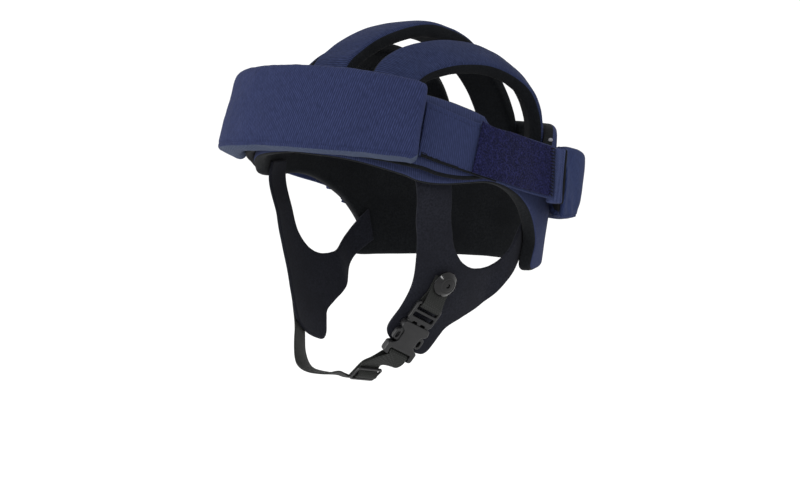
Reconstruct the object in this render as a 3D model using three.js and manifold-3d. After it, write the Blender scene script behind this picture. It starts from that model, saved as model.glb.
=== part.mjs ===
// Soft protective helmet with foam bumpers, crown arches, ear yokes and a buckled chin strap.
// Millimetres. +X is the wearer's left, -Y the front, +Z up.
// The origin is the middle of the head hollow, at the level of the headband.

import * as THREE from "three";
import { mergeVertices } from "three/addons/utils/BufferGeometryUtils.js";
import Module from "manifold-3d";

const wasm = await Module();
wasm.setup();

// Driving dimensions of the head form that every band follows
const HEAD_HALF_LENGTH = 98;
const HEAD_HALF_WIDTH = 79;
const HEAD_ROUNDNESS = 2.2;
const CONE_LEAN_DEG = 7;
const FRONT_LEAN_DEG = 13;

// Below this level every band draws in towards the neck
const NAPE_TUCK = 0.146;
const NAPE_TUCK_START = -10;
const NAPE_TUCK_EASE = 20;

// Clearances and edge roundings
const LAYER_GAP = 0.4;
const ROUND_STEPS = 3;
const CHAMFER_STEPS = 2;
const END_STEPS = 4;

// Padded bands
const BUMPER_CORNER = 4;
const BUMPER_END_ROUND = 5;
const PAD_SIDE_POINTS = 2;
const BAND_CORNER = 2.5;
const FLAP_END_ROUND = 10;
const SHELL_CORNER = 3;
const SHELL_STATIONS = 81;
const SHELL_SIDE_POINTS = 2;
const HOOK_TOP = -62;
const HOOK_BOTTOM = -84;

// Crown arches
const MIDDLE_ARCH_WIDTH = 32;
const SIDE_ARCH_WIDTH = 30;
const ARCH_THICKNESS = 10.5;
const ARCH_CROWN = 1.2;
const ARCH_CORNER = 3.2;

// Side straps, their pile patches and the rolled fold
const STRAP_CORNER = 1;
const PATCH_GAP = 0.6;
const PATCH_THICKNESS = 1.6;
const PATCH_CORNER = 0.6;
const ROLL_RADIUS = 6.2;
const ROLL_EDGE = 2;
const ROLL_FOOT_ANGLE = 106.3;
const ROLL_HEAD_ANGLE = 110.1;
const ROLL_OFFSET = 28.5;
const ROLL_LOW = -36;
const ROLL_HIGH = -0.5;

// Ear yokes
const YOKE_THICKNESS = 2.4;
const YOKE_OFFSET = 1.3;
const YOKE_FREE_Z = -45;
const YOKE_TUCKED_Z = -12;
const YOKE_FREE_Y = 0;
const YOKE_TUCKED_Y = 25;
const YOKE_COLUMNS = 4;
const YOKE_STATIONS = 38;

// Press buttons and small rivets
const BUTTON_RADIUS = 8.7;
const BUTTON_HEIGHT = 4.5;
const BUTTON_Y = -40.9;
const BUTTON_Z = -82.2;
const NAPE_RIVET_RADIUS = 2;
const NAPE_RIVET_HEIGHT = 1;
const NAPE_RIVET_ANGLE = 137.5;
const NAPE_RIVET_OFFSET = 10;
const NAPE_RIVET_GAP = 0.2;

// Webbing, and the slots that it runs through
const WEBBING_WIDTH = 15;
const WEBBING_THICKNESS = 1.2;
const SLOT_WIDTH = 16.8;
const WEBBING_GAP = 0.55;
const BAR_HALF_THICKNESS = 0.9;
const TURN_RADIUS = 2.6;
const TURN_STEPS = 5;
const STRAP_STEP = 7;
const BAR_RUN = 3.6;

// Buckle: where it starts and ends on the yoke, and its sizes from the button towards the chin
const BUCKLE_START = { y: -45.8, z: -96.3 };
const BUCKLE_END = { y: -61.7, z: -127.5 };
const BUCKLE_LIFT = 5.2;
const BUCKLE_TURN_DEG = 4.5;
const BUCKLE_MIDDLE = 20;
const MALE_WIDTH = 20;
const MALE_HALF_THICKNESS = 1.7;
const MALE_FRAME_END = 13.4;
const MALE_BAR = 2.2;
const MALE_SLOTS = [{ from: 2.2, to: 6 }, { from: 8, to: 11.2 }];
const MALE_ARM = { inside: 5.2, outside: 8.8, end: 31 };
const MALE_WING = { outside: 11.4, start: 22.5, end: 31 };
const MALE_TONGUE = { halfWidth: 1.6, end: 29 };
const FEMALE_SHOULDER_WIDTH = 21.4;
const FEMALE_END_WIDTH = 23.5;
const FEMALE_HALF_THICKNESS = 3.2;
const FEMALE_START = 15.6;
const FEMALE_END = 41.4;
const FEMALE_CAVITY = { halfWidth: 9.4, halfHeight: 2.1, end: 32.6 };
const FEMALE_NOTCH = { halfNeck: 6.6, start: 21.9, end: 31.6 };
const FEMALE_SLOT = { from: 36.5, to: 39 };
const PLATE_CORNER = 2.2;
const BUTTON_TO_BUCKLE = 16.2;
const TAB_HEAD = 3;
const TAB_REACH = 9;

// Ladder slider on the chin strap
const SLIDER_HALF_THICKNESS = 0.8;
const SLIDER_WIDTH = 19;
const SLIDER_SLOT = 4;
const SLIDER_OUTER_BAR = 1.9;
const SLIDER_MIDDLE_BAR = 2.2;
const SLIDER_WEAVE = 1.8;

// Colours read from the object
const NAVY = 0x353d60;
const NAVY_DARK = 0x2d334f;
const PILE_NAVY = 0x1e213b;
const BLACK_NEOPRENE = 0x252529;
const BLACK_PLASTIC = 0x33333a;
const BLACK_WEBBING = 0x2b2c2d;
const PALE_METAL = 0xc9c9c4;

// Half tables from the front (0) to the back (180), angles in degrees round the head.
// low and high are edge heights, inner and outer stand off the head form,
// slant is how much further round the upper edge lies than the lower edge.
// undercut drops the inner edges below the outer ones, for each millimetre of thickness.
const BUMPER_ROWS = [
  { angle: 0, slant: 0, low: 10.4, high: 61, inner: 18.7, outer: 39, undercut: 0.3 },
  { angle: 15, slant: 1, low: 9.3, high: 60, inner: 18.7, outer: 39, undercut: 0.3 },
  { angle: 30, slant: 2.5, low: 6.8, high: 56.5, inner: 18.7, outer: 39, undercut: 0.36 },
  { angle: 46, slant: 4.9, low: 2, high: 49, inner: 18.7, outer: 38.7, undercut: 0.45 },
];
const FRONT_BAND_ROWS = [
  { angle: 0, slant: 0, low: 5.5, high: 47, inner: 11.8, outer: 18.2, undercut: 0 },
  { angle: 15, slant: 0, low: 4.4, high: 46.5, inner: 11.8, outer: 18.2, undercut: 0 },
  { angle: 30, slant: 0, low: 1, high: 45, inner: 11.8, outer: 18.2, undercut: 0 },
  { angle: 47, slant: 0, low: -6.6, high: 41, inner: 11.8, outer: 18.2, undercut: 0 },
  { angle: 54, slant: 0, low: -11.6, high: 38, inner: 11.8, outer: 18.2, undercut: 0 },
  { angle: 62, slant: 0, low: -14.7, high: 33.7, inner: 11.8, outer: 18.2, undercut: 0 },
  { angle: 70, slant: 0, low: -15.3, high: 28.6, inner: 11.8, outer: 18.2, undercut: 0 },
  { angle: 76, slant: 0, low: -14.5, high: 24, inner: 11.8, outer: 18.2, undercut: 0 },
  { angle: 82, slant: 1, low: -12, high: 18, inner: 11.8, outer: 18.2, undercut: 0 },
];
// In the shell table slant is how far forward the lower corner of the nape hooks.
const SHELL_ROWS = [
  { angle: 0, slant: 0, low: 3.5, high: 42, inner: 3, outer: 11 },
  { angle: 15, slant: 0, low: 1.4, high: 41, inner: 3, outer: 11 },
  { angle: 27, slant: 0, low: -2.4, high: 39, inner: 3, outer: 11 },
  { angle: 41, slant: 0, low: -10.3, high: 34, inner: 3, outer: 11 },
  { angle: 47, slant: 0, low: -15.1, high: 31, inner: 3, outer: 11 },
  { angle: 54, slant: 0, low: -17.6, high: 27, inner: 3, outer: 11 },
  { angle: 62, slant: 0, low: -18.4, high: 22, inner: 3, outer: 11 },
  { angle: 75, slant: 0, low: -18.7, high: 12, inner: 3, outer: 11 },
  { angle: 84, slant: 0, low: -21.5, high: 3, inner: 3, outer: 11 },
  { angle: 92, slant: 0, low: -27, high: -3, inner: 3, outer: 11.5 },
  { angle: 98, slant: 0, low: -33, high: -5, inner: 3, outer: 12 },
  { angle: 104, slant: 0, low: -41, high: -5, inner: 3, outer: 12.4 },
  { angle: 109, slant: 0, low: -51, high: -4.5, inner: 3.3, outer: 12.7 },
  { angle: 112.5, slant: 6, low: -62, high: -4, inner: 3.5, outer: 13 },
  { angle: 114.5, slant: 9, low: -74, high: -3.5, inner: 3.6, outer: 13 },
  { angle: 118, slant: 9, low: -82, high: -4, inner: 3.8, outer: 13.2 },
  { angle: 128, slant: 7, low: -83.5, high: -5, inner: 4.2, outer: 13.6 },
  { angle: 134, slant: 6, low: -84, high: -3.5, inner: 4.6, outer: 14.1 },
  { angle: 138, slant: 5, low: -84.3, high: 3, inner: 4.8, outer: 14.4 },
  { angle: 143, slant: 4, low: -84.7, high: 9.5, inner: 5.1, outer: 14.7 },
  { angle: 151, slant: 2.7, low: -85.1, high: 12.2, inner: 5.6, outer: 15.1 },
  { angle: 164, slant: 1.5, low: -85.4, high: 12.8, inner: 5.9, outer: 15.4 },
  { angle: 180, slant: 0, low: -85.5, high: 13.5, inner: 6, outer: 15.5 },
];
// setback is how much further round the inner edges of the rear bumper lie than its outer ones.
const REAR_BUMPER_ROWS = [
  { angle: 107, slant: 3.9, low: -46.5, high: -0.2, inner: 14.2, outer: 33, undercut: 0, setback: 17.5 },
  { angle: 125, slant: 1, low: -49.5, high: -2.5, inner: 14.7, outer: 34, undercut: 0, setback: 8 },
  { angle: 150, slant: 0, low: -54, high: -7.5, inner: 15.7, outer: 34.5, undercut: 0, setback: 0 },
  { angle: 180, slant: 0, low: -56.5, high: -9.5, inner: 16, outer: 34.5, undercut: 0, setback: 0 },
];
const SIDE_STRAP_ROWS = [
  { angle: 47, slant: 4.3, low: 2, high: 35, inner: 18.9, outer: 21.9, undercut: 0 },
  { angle: 54, slant: 3, low: -3.4, high: 30.6, inner: 18.9, outer: 21.9, undercut: 0 },
  { angle: 66, slant: 2, low: -11.6, high: 22.3, inner: 18.9, outer: 21.9, undercut: 0 },
  { angle: 76, slant: 1, low: -17.6, high: 17, inner: 18.9, outer: 21.9, undercut: 0 },
  { angle: 86, slant: 0, low: -23.3, high: 13.4, inner: 19.1, outer: 22.1, undercut: 0 },
  { angle: 95.5, slant: 1.5, low: -28.2, high: 7.6, inner: 20.6, outer: 23.6, undercut: 0 },
  { angle: 103.2, slant: 3.7, low: -32.4, high: 1.6, inner: 26, outer: 29, undercut: 0 },
];
const PATCH_ROWS = 8;
const PATCH_START_ANGLE = 65.5;
const PATCH_START_SLANT = 7;
const PATCH_END_ANGLE = 101.4;
const PATCH_END_SLANT = 3.2;
const PATCH_INSET = 1.2;

// Arch centre lines on the outer face; roll leans that face towards the wearer's left.
const MIDDLE_ARCH_ROWS = [
  { x: 0, y: -90, z: 27, roll: 0 },
  { x: 0, y: -84.2, z: 42, roll: 0 },
  { x: 0, y: -71, z: 60.5, roll: 0 },
  { x: 0, y: -57, z: 69.8, roll: 0 },
  { x: 0, y: -41, z: 77, roll: 0 },
  { x: 0, y: -24, z: 82, roll: 0 },
  { x: 0, y: -6, z: 85.3, roll: 0 },
  { x: 0, y: 14, z: 86, roll: 0 },
  { x: 0, y: 34, z: 82, roll: 0 },
  { x: 0, y: 53, z: 74, roll: 0 },
  { x: 0, y: 72, z: 60.5, roll: 0 },
  { x: 0, y: 88, z: 43.5, roll: 0 },
  { x: 0, y: 99, z: 25, roll: 0 },
  { x: 0, y: 103.4, z: 8, roll: 0 },
  { x: 0, y: 102.3, z: -6, roll: 0 },
];
const SIDE_ARCH_ROWS = [
  { x: 50.7, y: -71.4, z: 22, roll: 46 },
  { x: 48.7, y: -68, z: 36, roll: 42 },
  { x: 44.6, y: -56, z: 51, roll: 36 },
  { x: 43.8, y: -39.5, z: 60.3, roll: 33 },
  { x: 45, y: -18, z: 65.2, roll: 33 },
  { x: 46, y: 5, z: 66.3, roll: 33 },
  { x: 46.5, y: 28, z: 64, roll: 33 },
  { x: 48, y: 50, z: 57, roll: 34 },
  { x: 50, y: 68, z: 45.5, roll: 36 },
  { x: 51, y: 79.8, z: 30, roll: 39 },
  { x: 51.6, y: 84.9, z: 12, roll: 42 },
  { x: 50.8, y: 84, z: -6, roll: 42 },
];

// Half widths of the face at each level, for the yokes below the headband
const CHEEK_ROWS = [
  { z: -160, halfWidth: 42, halfLength: 86 },
  { z: -130, halfWidth: 51, halfLength: 88 },
  { z: -110, halfWidth: 59.5, halfLength: 91 },
  { z: -90, halfWidth: 68, halfLength: 94 },
  { z: -65, halfWidth: 75, halfLength: 97 },
  { z: -40, halfWidth: 79, halfLength: 98 },
  { z: 20, halfWidth: 80.5, halfLength: 98 },
];

// Yoke from its front leg, round the jaw tail, to its rear leg: outer edge and ear edge
const YOKE_ROWS = [
  { outerY: -64.5, outerZ: -7, earY: -42.5, earZ: -8 },
  { outerY: -65, outerZ: -18, earY: -42, earZ: -20 },
  { outerY: -63.5, outerZ: -32, earY: -40.8, earZ: -34 },
  { outerY: -61.5, outerZ: -48, earY: -38.8, earZ: -47 },
  { outerY: -60.2, outerZ: -65, earY: -35.5, earZ: -59.5 },
  { outerY: -60, outerZ: -82, earY: -29, earZ: -69 },
  { outerY: -63.5, outerZ: -97, earY: -23, earZ: -73.5 },
  { outerY: -68, outerZ: -112, earY: -18, earZ: -75.7 },
  { outerY: -60, outerZ: -123.5, earY: -14, earZ: -76.7 },
  { outerY: -46, outerZ: -131, earY: -10.5, earZ: -77 },
  { outerY: -37, outerZ: -131.5, earY: -7.5, earZ: -77.2 },
  { outerY: -28, outerZ: -117, earY: -4, earZ: -77 },
  { outerY: -15.5, outerZ: -110.5, earY: 0.5, earZ: -76.5 },
  { outerY: -2.5, outerZ: -104.8, earY: 5.5, earZ: -74.5 },
  { outerY: 7.5, outerZ: -97.5, earY: 10.5, earZ: -71 },
  { outerY: 15.5, outerZ: -88.5, earY: 18, earZ: -64.8 },
  { outerY: 25, outerZ: -80, earY: 26, earZ: -57.3 },
  { outerY: 37, outerZ: -72, earY: 36, earZ: -49 },
];

// Chin strap under the chin: centre line, and the direction across the webbing
const CHIN_ROWS = [
  { x: 29.5, y: -75, z: -142.6, acrossX: 0.2, acrossY: 0.95, acrossZ: -0.21 },
  { x: 18.5, y: -82.5, z: -142.8, acrossX: 0.2, acrossY: 0.92, acrossZ: -0.34 },
  { x: 8, y: -87, z: -143, acrossX: 0.06, acrossY: 0.98, acrossZ: -0.18 },
  { x: -8, y: -87, z: -143, acrossX: -0.06, acrossY: 0.98, acrossZ: -0.18 },
  { x: -22, y: -82, z: -140.5, acrossX: -0.14, acrossY: 0.94, acrossZ: -0.32 },
  { x: -35, y: -73, z: -132.5, acrossX: -0.2, acrossY: 0.83, acrossZ: -0.52 },
];
// Its last stretch lies on the right yoke, at these places
const YOKE_END_ROWS = [
  { y: -63, z: -121 },
  { y: -54, z: -106 },
  { y: -45.5, z: -92 },
  { y: -37.5, z: -79 },
];

const radians = THREE.MathUtils.degToRad;
const mix = THREE.MathUtils.lerp;

// Catmull-Rom through the rows of a table, column by column, at count even stations
function curveThrough(rows, count) {
  const columns = Object.keys(rows[0]);
  const last = rows.length - 1;
  const stations = [];
  for (let i = 0; i < count; i += 1) {
    const place = (i / (count - 1)) * last;
    const at = Math.min(Math.floor(place), last - 1);
    const f = place - at;
    const station = {};
    for (const column of columns) {
      const b = rows[at][column];
      const c = rows[at + 1][column];
      const a = at > 0 ? rows[at - 1][column] : 2 * b - c;
      const d = at + 1 < last ? rows[at + 2][column] : 2 * c - b;
      const bend = (2 * a - 5 * b + 4 * c - d) * f * f + (3 * b - a - 3 * c + d) * f * f * f;
      station[column] = 0.5 * (2 * b + (c - a) * f + bend);
    }
    stations.push(station);
  }
  return stations;
}

// A half table that starts at the middle, joined to its mirror image
function bothHalves(rows) {
  const mirrored = rows.slice(1).reverse();
  const flip = (row) => ({ ...row, angle: -row.angle, slant: -row.slant });
  return [...mirrored.map(flip), ...rows];
}

// A half table that ends at the back, carried on round the other side
function aroundTheBack(rows) {
  const mirrored = rows.slice(0, -1).reverse();
  const flip = (row) => ({
    ...row, angle: 360 - row.angle, slant: -row.slant, setback: -(row.setback ?? 0),
  });
  return [...rows, ...mirrored.map(flip)];
}

// Head form
function headRadius(angle) {
  const along = Math.abs(Math.cos(angle)) / HEAD_HALF_LENGTH;
  const across = Math.abs(Math.sin(angle)) / HEAD_HALF_WIDTH;
  return (along ** HEAD_ROUNDNESS + across ** HEAD_ROUNDNESS) ** (-1 / HEAD_ROUNDNESS);
}

function bandRadius(angle, z, offset) {
  const lean = Math.tan(radians(CONE_LEAN_DEG + FRONT_LEAN_DEG * Math.cos(angle)));
  const depth = Math.max(0, NAPE_TUCK_START - z);
  const tuck = (NAPE_TUCK * depth * depth) / (depth + NAPE_TUCK_EASE);
  return headRadius(angle) + offset - lean * z - tuck;
}

function bandPoint(angleDeg, z, offset) {
  const angle = radians(angleDeg);
  const radius = bandRadius(angle, z, offset);
  return new THREE.Vector3(radius * Math.sin(angle), -radius * Math.cos(angle), z);
}

// Closed solid skinned over rings of points; an open row of rings is capped at both ends
function skin(rings, isLoop = false) {
  const size = rings[0].length;
  const index = [];
  const spans = isLoop ? rings.length : rings.length - 1;
  for (let i = 0; i < spans; i += 1) {
    const here = i * size;
    const next = ((i + 1) % rings.length) * size;
    for (let j = 0; j < size; j += 1) {
      const k = (j + 1) % size;
      index.push(here + j, next + j, next + k, here + j, next + k, here + k);
    }
  }
  const positions = rings.flat().flatMap((point) => point.toArray());
  if (!isLoop) {
    for (const [ring, isEnd] of [[0, false], [rings.length - 1, true]]) {
      const first = ring * size;
      const middle = positions.length / 3;
      const centre = new THREE.Vector3();
      rings[ring].forEach((point) => centre.addScaledVector(point, 1 / size));
      positions.push(...centre.toArray());
      for (let j = 0; j < size; j += 1) {
        const k = (j + 1) % size;
        const [a, b] = isEnd ? [k, j] : [j, k];
        index.push(middle, first + a, first + b);
      }
    }
  }
  return facingOut(positions, index);
}

function facingOut(positions, index) {
  const corner = (i) => new THREE.Vector3().fromArray(positions, 3 * i);
  let volume = 0;
  for (let i = 0; i < index.length; i += 3) {
    volume += corner(index[i]).dot(corner(index[i + 1]).cross(corner(index[i + 2])));
  }
  const turned = volume < 0 ? index.slice().reverse() : index;
  const geometry = new THREE.BufferGeometry();
  geometry.setAttribute("position", new THREE.Float32BufferAttribute(positions, 3));
  geometry.setIndex(turned);
  geometry.computeVertexNormals();
  return geometry;
}

// Rounded rectangle as [across, up] points, with extra points along the two upright sides
function roundedSection(across0, across1, up0, up1, corner, { steps, sidePoints = 0 }) {
  const r = Math.min(corner, 0.49 * (across1 - across0), 0.49 * (up1 - up0));
  const corners = [
    { across: across1 - r, up: up0 + r, turn: -90 },
    { across: across1 - r, up: up1 - r, turn: 0 },
    { across: across0 + r, up: up1 - r, turn: 90 },
    { across: across0 + r, up: up0 + r, turn: 180 },
  ];
  const points = [];
  corners.forEach(({ across, up, turn }, side) => {
    for (let i = 0; i < steps; i += 1) {
      const a = radians(turn + (90 * i) / (steps - 1));
      points.push([across + r * Math.cos(a), up + r * Math.sin(a)]);
    }
    for (let i = 1; i <= sidePoints && side % 2 === 0; i += 1) {
      const f = i / (sidePoints + 1);
      const rising = side === 0;
      const x = rising ? across1 : across0;
      points.push([x, mix(rising ? up0 + r : up1 - r, rising ? up1 - r : up0 + r, f)]);
    }
  });
  return points;
}

// Padded or flat band that follows the head form through the stations of a table,
// with its ends rounded off by endRound
function bandSolid(stations, { corner, endRound, steps = ROUND_STEPS, sidePoints = 0 }) {
  const first = stations[0];
  const last = stations[stations.length - 1];
  const degreesPerMm = 180 / (Math.PI * bandRadius(radians(last.angle), last.low, last.outer));
  const ring = (row, inset, shift) => {
    const pull = Math.min(inset, 0.45 * (row.outer - row.inner));
    const section = roundedSection(
      row.inner + pull, row.outer - pull, row.low + inset, row.high - inset, corner,
      { steps, sidePoints });
    return section.map(([offset, z]) => {
      const f = (z - row.low) / (row.high - row.low);
      const drop = row.undercut * (row.outer - offset);
      const behind = (row.setback ?? 0) * ((row.outer - offset) / (row.outer - row.inner));
      return bandPoint(row.angle + behind + shift * degreesPerMm + row.slant * f, z - drop, offset);
    });
  };
  const rings = [];
  for (let i = 0; i < END_STEPS; i += 1) {
    const a = radians((90 * i) / END_STEPS);
    const inset = endRound * (1 - Math.sin(a));
    const back = endRound * (1 - Math.cos(a));
    rings.push(ring(first, 0.75 * inset, back));
  }
  const clear = endRound * degreesPerMm;
  const inside = stations.filter((row) => row.angle > first.angle + clear && row.angle < last.angle - clear);
  inside.forEach((row) => rings.push(ring(row, 0, 0)));
  for (let i = END_STEPS - 1; i >= 0; i -= 1) {
    const a = radians((90 * i) / END_STEPS);
    const inset = endRound * (1 - Math.sin(a));
    const back = endRound * (1 - Math.cos(a));
    rings.push(ring(last, 0.75 * inset, -back));
  }
  return skin(rings);
}

// Headband and nape in one closed ring, whose lower corners hook forward below the ears
function shellSolid() {
  const stations = curveThrough(aroundTheBack(SHELL_ROWS), SHELL_STATIONS).slice(0, -1);
  const rings = stations.map((row) => {
    const section = roundedSection(row.inner, row.outer, row.low, row.high, SHELL_CORNER,
      { steps: ROUND_STEPS, sidePoints: SHELL_SIDE_POINTS });
    return section.map(([offset, z]) => {
      const hook = THREE.MathUtils.smoothstep(-z, -HOOK_TOP, -HOOK_BOTTOM);
      return bandPoint(row.angle - row.slant * hook, z, offset);
    });
  });
  return skin(rings, true);
}

// Sweep of a section along centre points, each with its own across and outward directions
function sweep(frames, section) {
  const rings = frames.map(({ centre, across, out }) => section.map(([a, o]) => {
    return centre.clone().addScaledVector(across, a).addScaledVector(out, o);
  }));
  return skin(rings);
}

function tangentAt(points, i) {
  const before = points[Math.max(i - 1, 0)];
  const after = points[Math.min(i + 1, points.length - 1)];
  return after.clone().sub(before).normalize();
}

// Padded strap over the crown, with a slightly domed face and rounded edges
function archSolid(rows, width) {
  const stations = curveThrough(rows, 2 * rows.length + 1);
  const points = stations.map(({ x, y, z }) => new THREE.Vector3(x, y, z));
  const frames = stations.map(({ roll }, i) => {
    const along = tangentAt(points, i);
    const across = new THREE.Vector3(1, 0, 0);
    across.addScaledVector(along, -across.dot(along)).normalize();
    const out = across.clone().cross(along).normalize();
    const turn = radians(roll);
    const leaned = across.clone().multiplyScalar(Math.cos(turn)).addScaledVector(out, -Math.sin(turn));
    out.multiplyScalar(Math.cos(turn)).addScaledVector(across, Math.sin(turn));
    return { centre: points[i], across: leaned, out };
  });
  const half = width / 2;
  const plain = roundedSection(-half, half, -ARCH_THICKNESS, -ARCH_CROWN, ARCH_CORNER,
    { steps: ROUND_STEPS });
  const top = plain.findIndex(([, o]) => o > -ARCH_CROWN - 0.001);
  const crown = [[half / 2, -ARCH_CROWN / 4], [0, 0], [-half / 2, -ARCH_CROWN / 4]];
  plain.splice(top + 1, 0, ...crown);
  return sweep(frames, plain);
}

// Cheek and yoke surfaces, as a sideways distance at each place
const cheekStations = curveThrough(CHEEK_ROWS, 121);
function cheekX(y, z) {
  const last = cheekStations.length - 1;
  const at = cheekStations.findIndex((row, i) => i > 0 && (z < row.z || i === last));
  const below = cheekStations[at - 1];
  const above = cheekStations[at];
  const f = THREE.MathUtils.clamp((z - below.z) / (above.z - below.z), 0, 1);
  const width = mix(below.halfWidth, above.halfWidth, f);
  const length = mix(below.halfLength, above.halfLength, f);
  const share = Math.min(Math.abs(y) / length, 0.99);
  return width * (1 - share ** HEAD_ROUNDNESS) ** (1 / HEAD_ROUNDNESS);
}

function bandX(y, z, offset) {
  let x = HEAD_HALF_WIDTH;
  for (let i = 0; i < 12; i += 1) {
    const radius = bandRadius(Math.atan2(x, -y), z, offset);
    x = Math.sqrt(Math.max(radius * radius - y * y, 1));
  }
  return x;
}

function yokeX(y, z) {
  const underBand = THREE.MathUtils.smoothstep(z, YOKE_FREE_Z, YOKE_TUCKED_Z);
  const underNape = THREE.MathUtils.smoothstep(y, YOKE_FREE_Y, YOKE_TUCKED_Y);
  return mix(cheekX(y, z) + YOKE_OFFSET, bandX(y, z, YOKE_OFFSET), Math.max(underBand, underNape));
}

function yokePoint(y, z, height = 0) {
  const step = 1;
  const slopeY = (yokeX(y + step, z) - yokeX(y - step, z)) / (2 * step);
  const slopeZ = (yokeX(y, z + step) - yokeX(y, z - step)) / (2 * step);
  const normal = new THREE.Vector3(1, -slopeY, -slopeZ).normalize();
  const point = new THREE.Vector3(yokeX(y, z), y, z).addScaledVector(normal, height);
  return { point, normal };
}

function yokeSolid() {
  const half = YOKE_THICKNESS / 2;
  const rings = curveThrough(YOKE_ROWS, YOKE_STATIONS).map((row) => {
    const place = (f) => [mix(row.outerY, row.earY, f), mix(row.outerZ, row.earZ, f)];
    const outside = [];
    const inside = [];
    for (let i = 0; i < YOKE_COLUMNS; i += 1) {
      const [y, z] = place(i / (YOKE_COLUMNS - 1));
      outside.push(yokePoint(y, z, half).point);
      inside.push(yokePoint(y, z, -half).point);
    }
    return [...outside, ...inside.reverse()];
  });
  return skin(rings);
}

// Mirror image across the middle plane
function mirrorGeometry(geometry) {
  const positions = Array.from(geometry.attributes.position.array);
  for (let i = 0; i < positions.length; i += 3) {
    positions[i] = -positions[i];
  }
  return facingOut(positions, Array.from(geometry.index.array).reverse());
}

// Joins and cuts
function toSolid(geometry) {
  const bare = geometry.clone();
  bare.deleteAttribute("normal");
  bare.deleteAttribute("uv");
  const merged = mergeVertices(bare, 1e-3);
  const vertProperties = new Float32Array(merged.attributes.position.array);
  const triVerts = new Uint32Array(merged.index.array);
  return new wasm.Manifold(new wasm.Mesh({ numProp: 3, vertProperties, triVerts }));
}

function toGeometry(solid) {
  const mesh = solid.getMesh();
  return facingOut(Array.from(mesh.vertProperties), Array.from(mesh.triVerts));
}

function boxAt(width, length, height, x, y, z) {
  const box = new THREE.BoxGeometry(width, length, height);
  box.translate(x, y, z);
  return toSolid(box);
}

function roundedPlate(width, y0, y1, z0, z1, corner) {
  const half = width / 2;
  const shape = new THREE.Shape();
  shape.moveTo(half, y0 + corner);
  shape.lineTo(half, y1 - corner);
  shape.absarc(half - corner, y1 - corner, corner, 0, Math.PI / 2, false);
  shape.lineTo(-half + corner, y1);
  shape.absarc(-half + corner, y1 - corner, corner, Math.PI / 2, Math.PI, false);
  shape.lineTo(-half, y0 + corner);
  shape.absarc(-half + corner, y0 + corner, corner, Math.PI, 1.5 * Math.PI, false);
  shape.lineTo(half - corner, y0);
  shape.absarc(half - corner, y0 + corner, corner, 1.5 * Math.PI, 2 * Math.PI, false);
  const plate = new THREE.ExtrudeGeometry(shape, { depth: z1 - z0, bevelEnabled: false, curveSegments: 3 });
  plate.translate(0, 0, z0);
  return toSolid(plate);
}

const helmet = new THREE.Group();

function addPiece(parent, name, geometry, color, roughness, metalness = 0) {
  const material = new THREE.MeshStandardMaterial({ color, roughness, metalness });
  const mesh = new THREE.Mesh(geometry, material);
  mesh.name = name;
  parent.add(mesh);
  return mesh;
}

// Foam pads and padded bands
const bumper = bandSolid(curveThrough(bothHalves(BUMPER_ROWS), 25), {
  corner: BUMPER_CORNER,
  endRound: BUMPER_END_ROUND,
  sidePoints: PAD_SIDE_POINTS,
});
addPiece(helmet, "front_bumper", bumper, NAVY, 0.85);

const frontBand = bandSolid(curveThrough(bothHalves(FRONT_BAND_ROWS), 33),
  { corner: BAND_CORNER, endRound: FLAP_END_ROUND });
addPiece(helmet, "front_band", frontBand, NAVY_DARK, 0.9);

addPiece(helmet, "base_shell", shellSolid(), NAVY_DARK, 0.9);

const rearBumper = bandSolid(curveThrough(aroundTheBack(REAR_BUMPER_ROWS), 23), {
  corner: BUMPER_CORNER,
  endRound: BUMPER_END_ROUND,
  sidePoints: PAD_SIDE_POINTS,
});
addPiece(helmet, "rear_bumper", rearBumper, NAVY, 0.85);

// Crown arches
const sideArch = archSolid(SIDE_ARCH_ROWS, SIDE_ARCH_WIDTH);
addPiece(helmet, "crown_arch_middle", archSolid(MIDDLE_ARCH_ROWS, MIDDLE_ARCH_WIDTH), NAVY_DARK, 0.85);
addPiece(helmet, "crown_arch_left", sideArch, NAVY_DARK, 0.85);
addPiece(helmet, "crown_arch_right", mirrorGeometry(sideArch), NAVY_DARK, 0.85);

// Side straps with their pile patches and rolled ends
const strapStations = curveThrough(SIDE_STRAP_ROWS, 13);
const thinBand = { corner: STRAP_CORNER, endRound: STRAP_CORNER, steps: CHAMFER_STEPS };
const sideStrap = bandSolid(strapStations, thinBand);

function patchSolid() {
  const along = curveThrough(SIDE_STRAP_ROWS, 61);
  const stations = [];
  for (let i = 0; i < PATCH_ROWS; i += 1) {
    const f = i / (PATCH_ROWS - 1);
    const angle = mix(PATCH_START_ANGLE, PATCH_END_ANGLE, f);
    const strap = along.find((row) => row.angle >= angle) ?? along[along.length - 1];
    stations.push({
      angle,
      slant: PATCH_START_SLANT * (1 - f) ** 2 + PATCH_END_SLANT * f ** 4,
      low: strap.low + PATCH_INSET,
      high: strap.high - PATCH_INSET,
      inner: strap.outer + PATCH_GAP,
      outer: strap.outer + PATCH_GAP + PATCH_THICKNESS,
      undercut: 0,
    });
  }
  return bandSolid(stations, { corner: PATCH_CORNER, endRound: PATCH_CORNER, steps: CHAMFER_STEPS });
}
const loopPatch = patchSolid();

// Profile of radii and heights turned round an axis that starts at a seat point
function turned(profile, sides, seat, axis) {
  const points = profile.map(([radius, up]) => new THREE.Vector2(radius, up));
  const lathe = new THREE.LatheGeometry(points, sides);
  lathe.applyQuaternion(new THREE.Quaternion().setFromUnitVectors(new THREE.Vector3(0, 1, 0), axis));
  lathe.translate(...seat.toArray());
  return toGeometry(toSolid(lathe));
}

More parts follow.
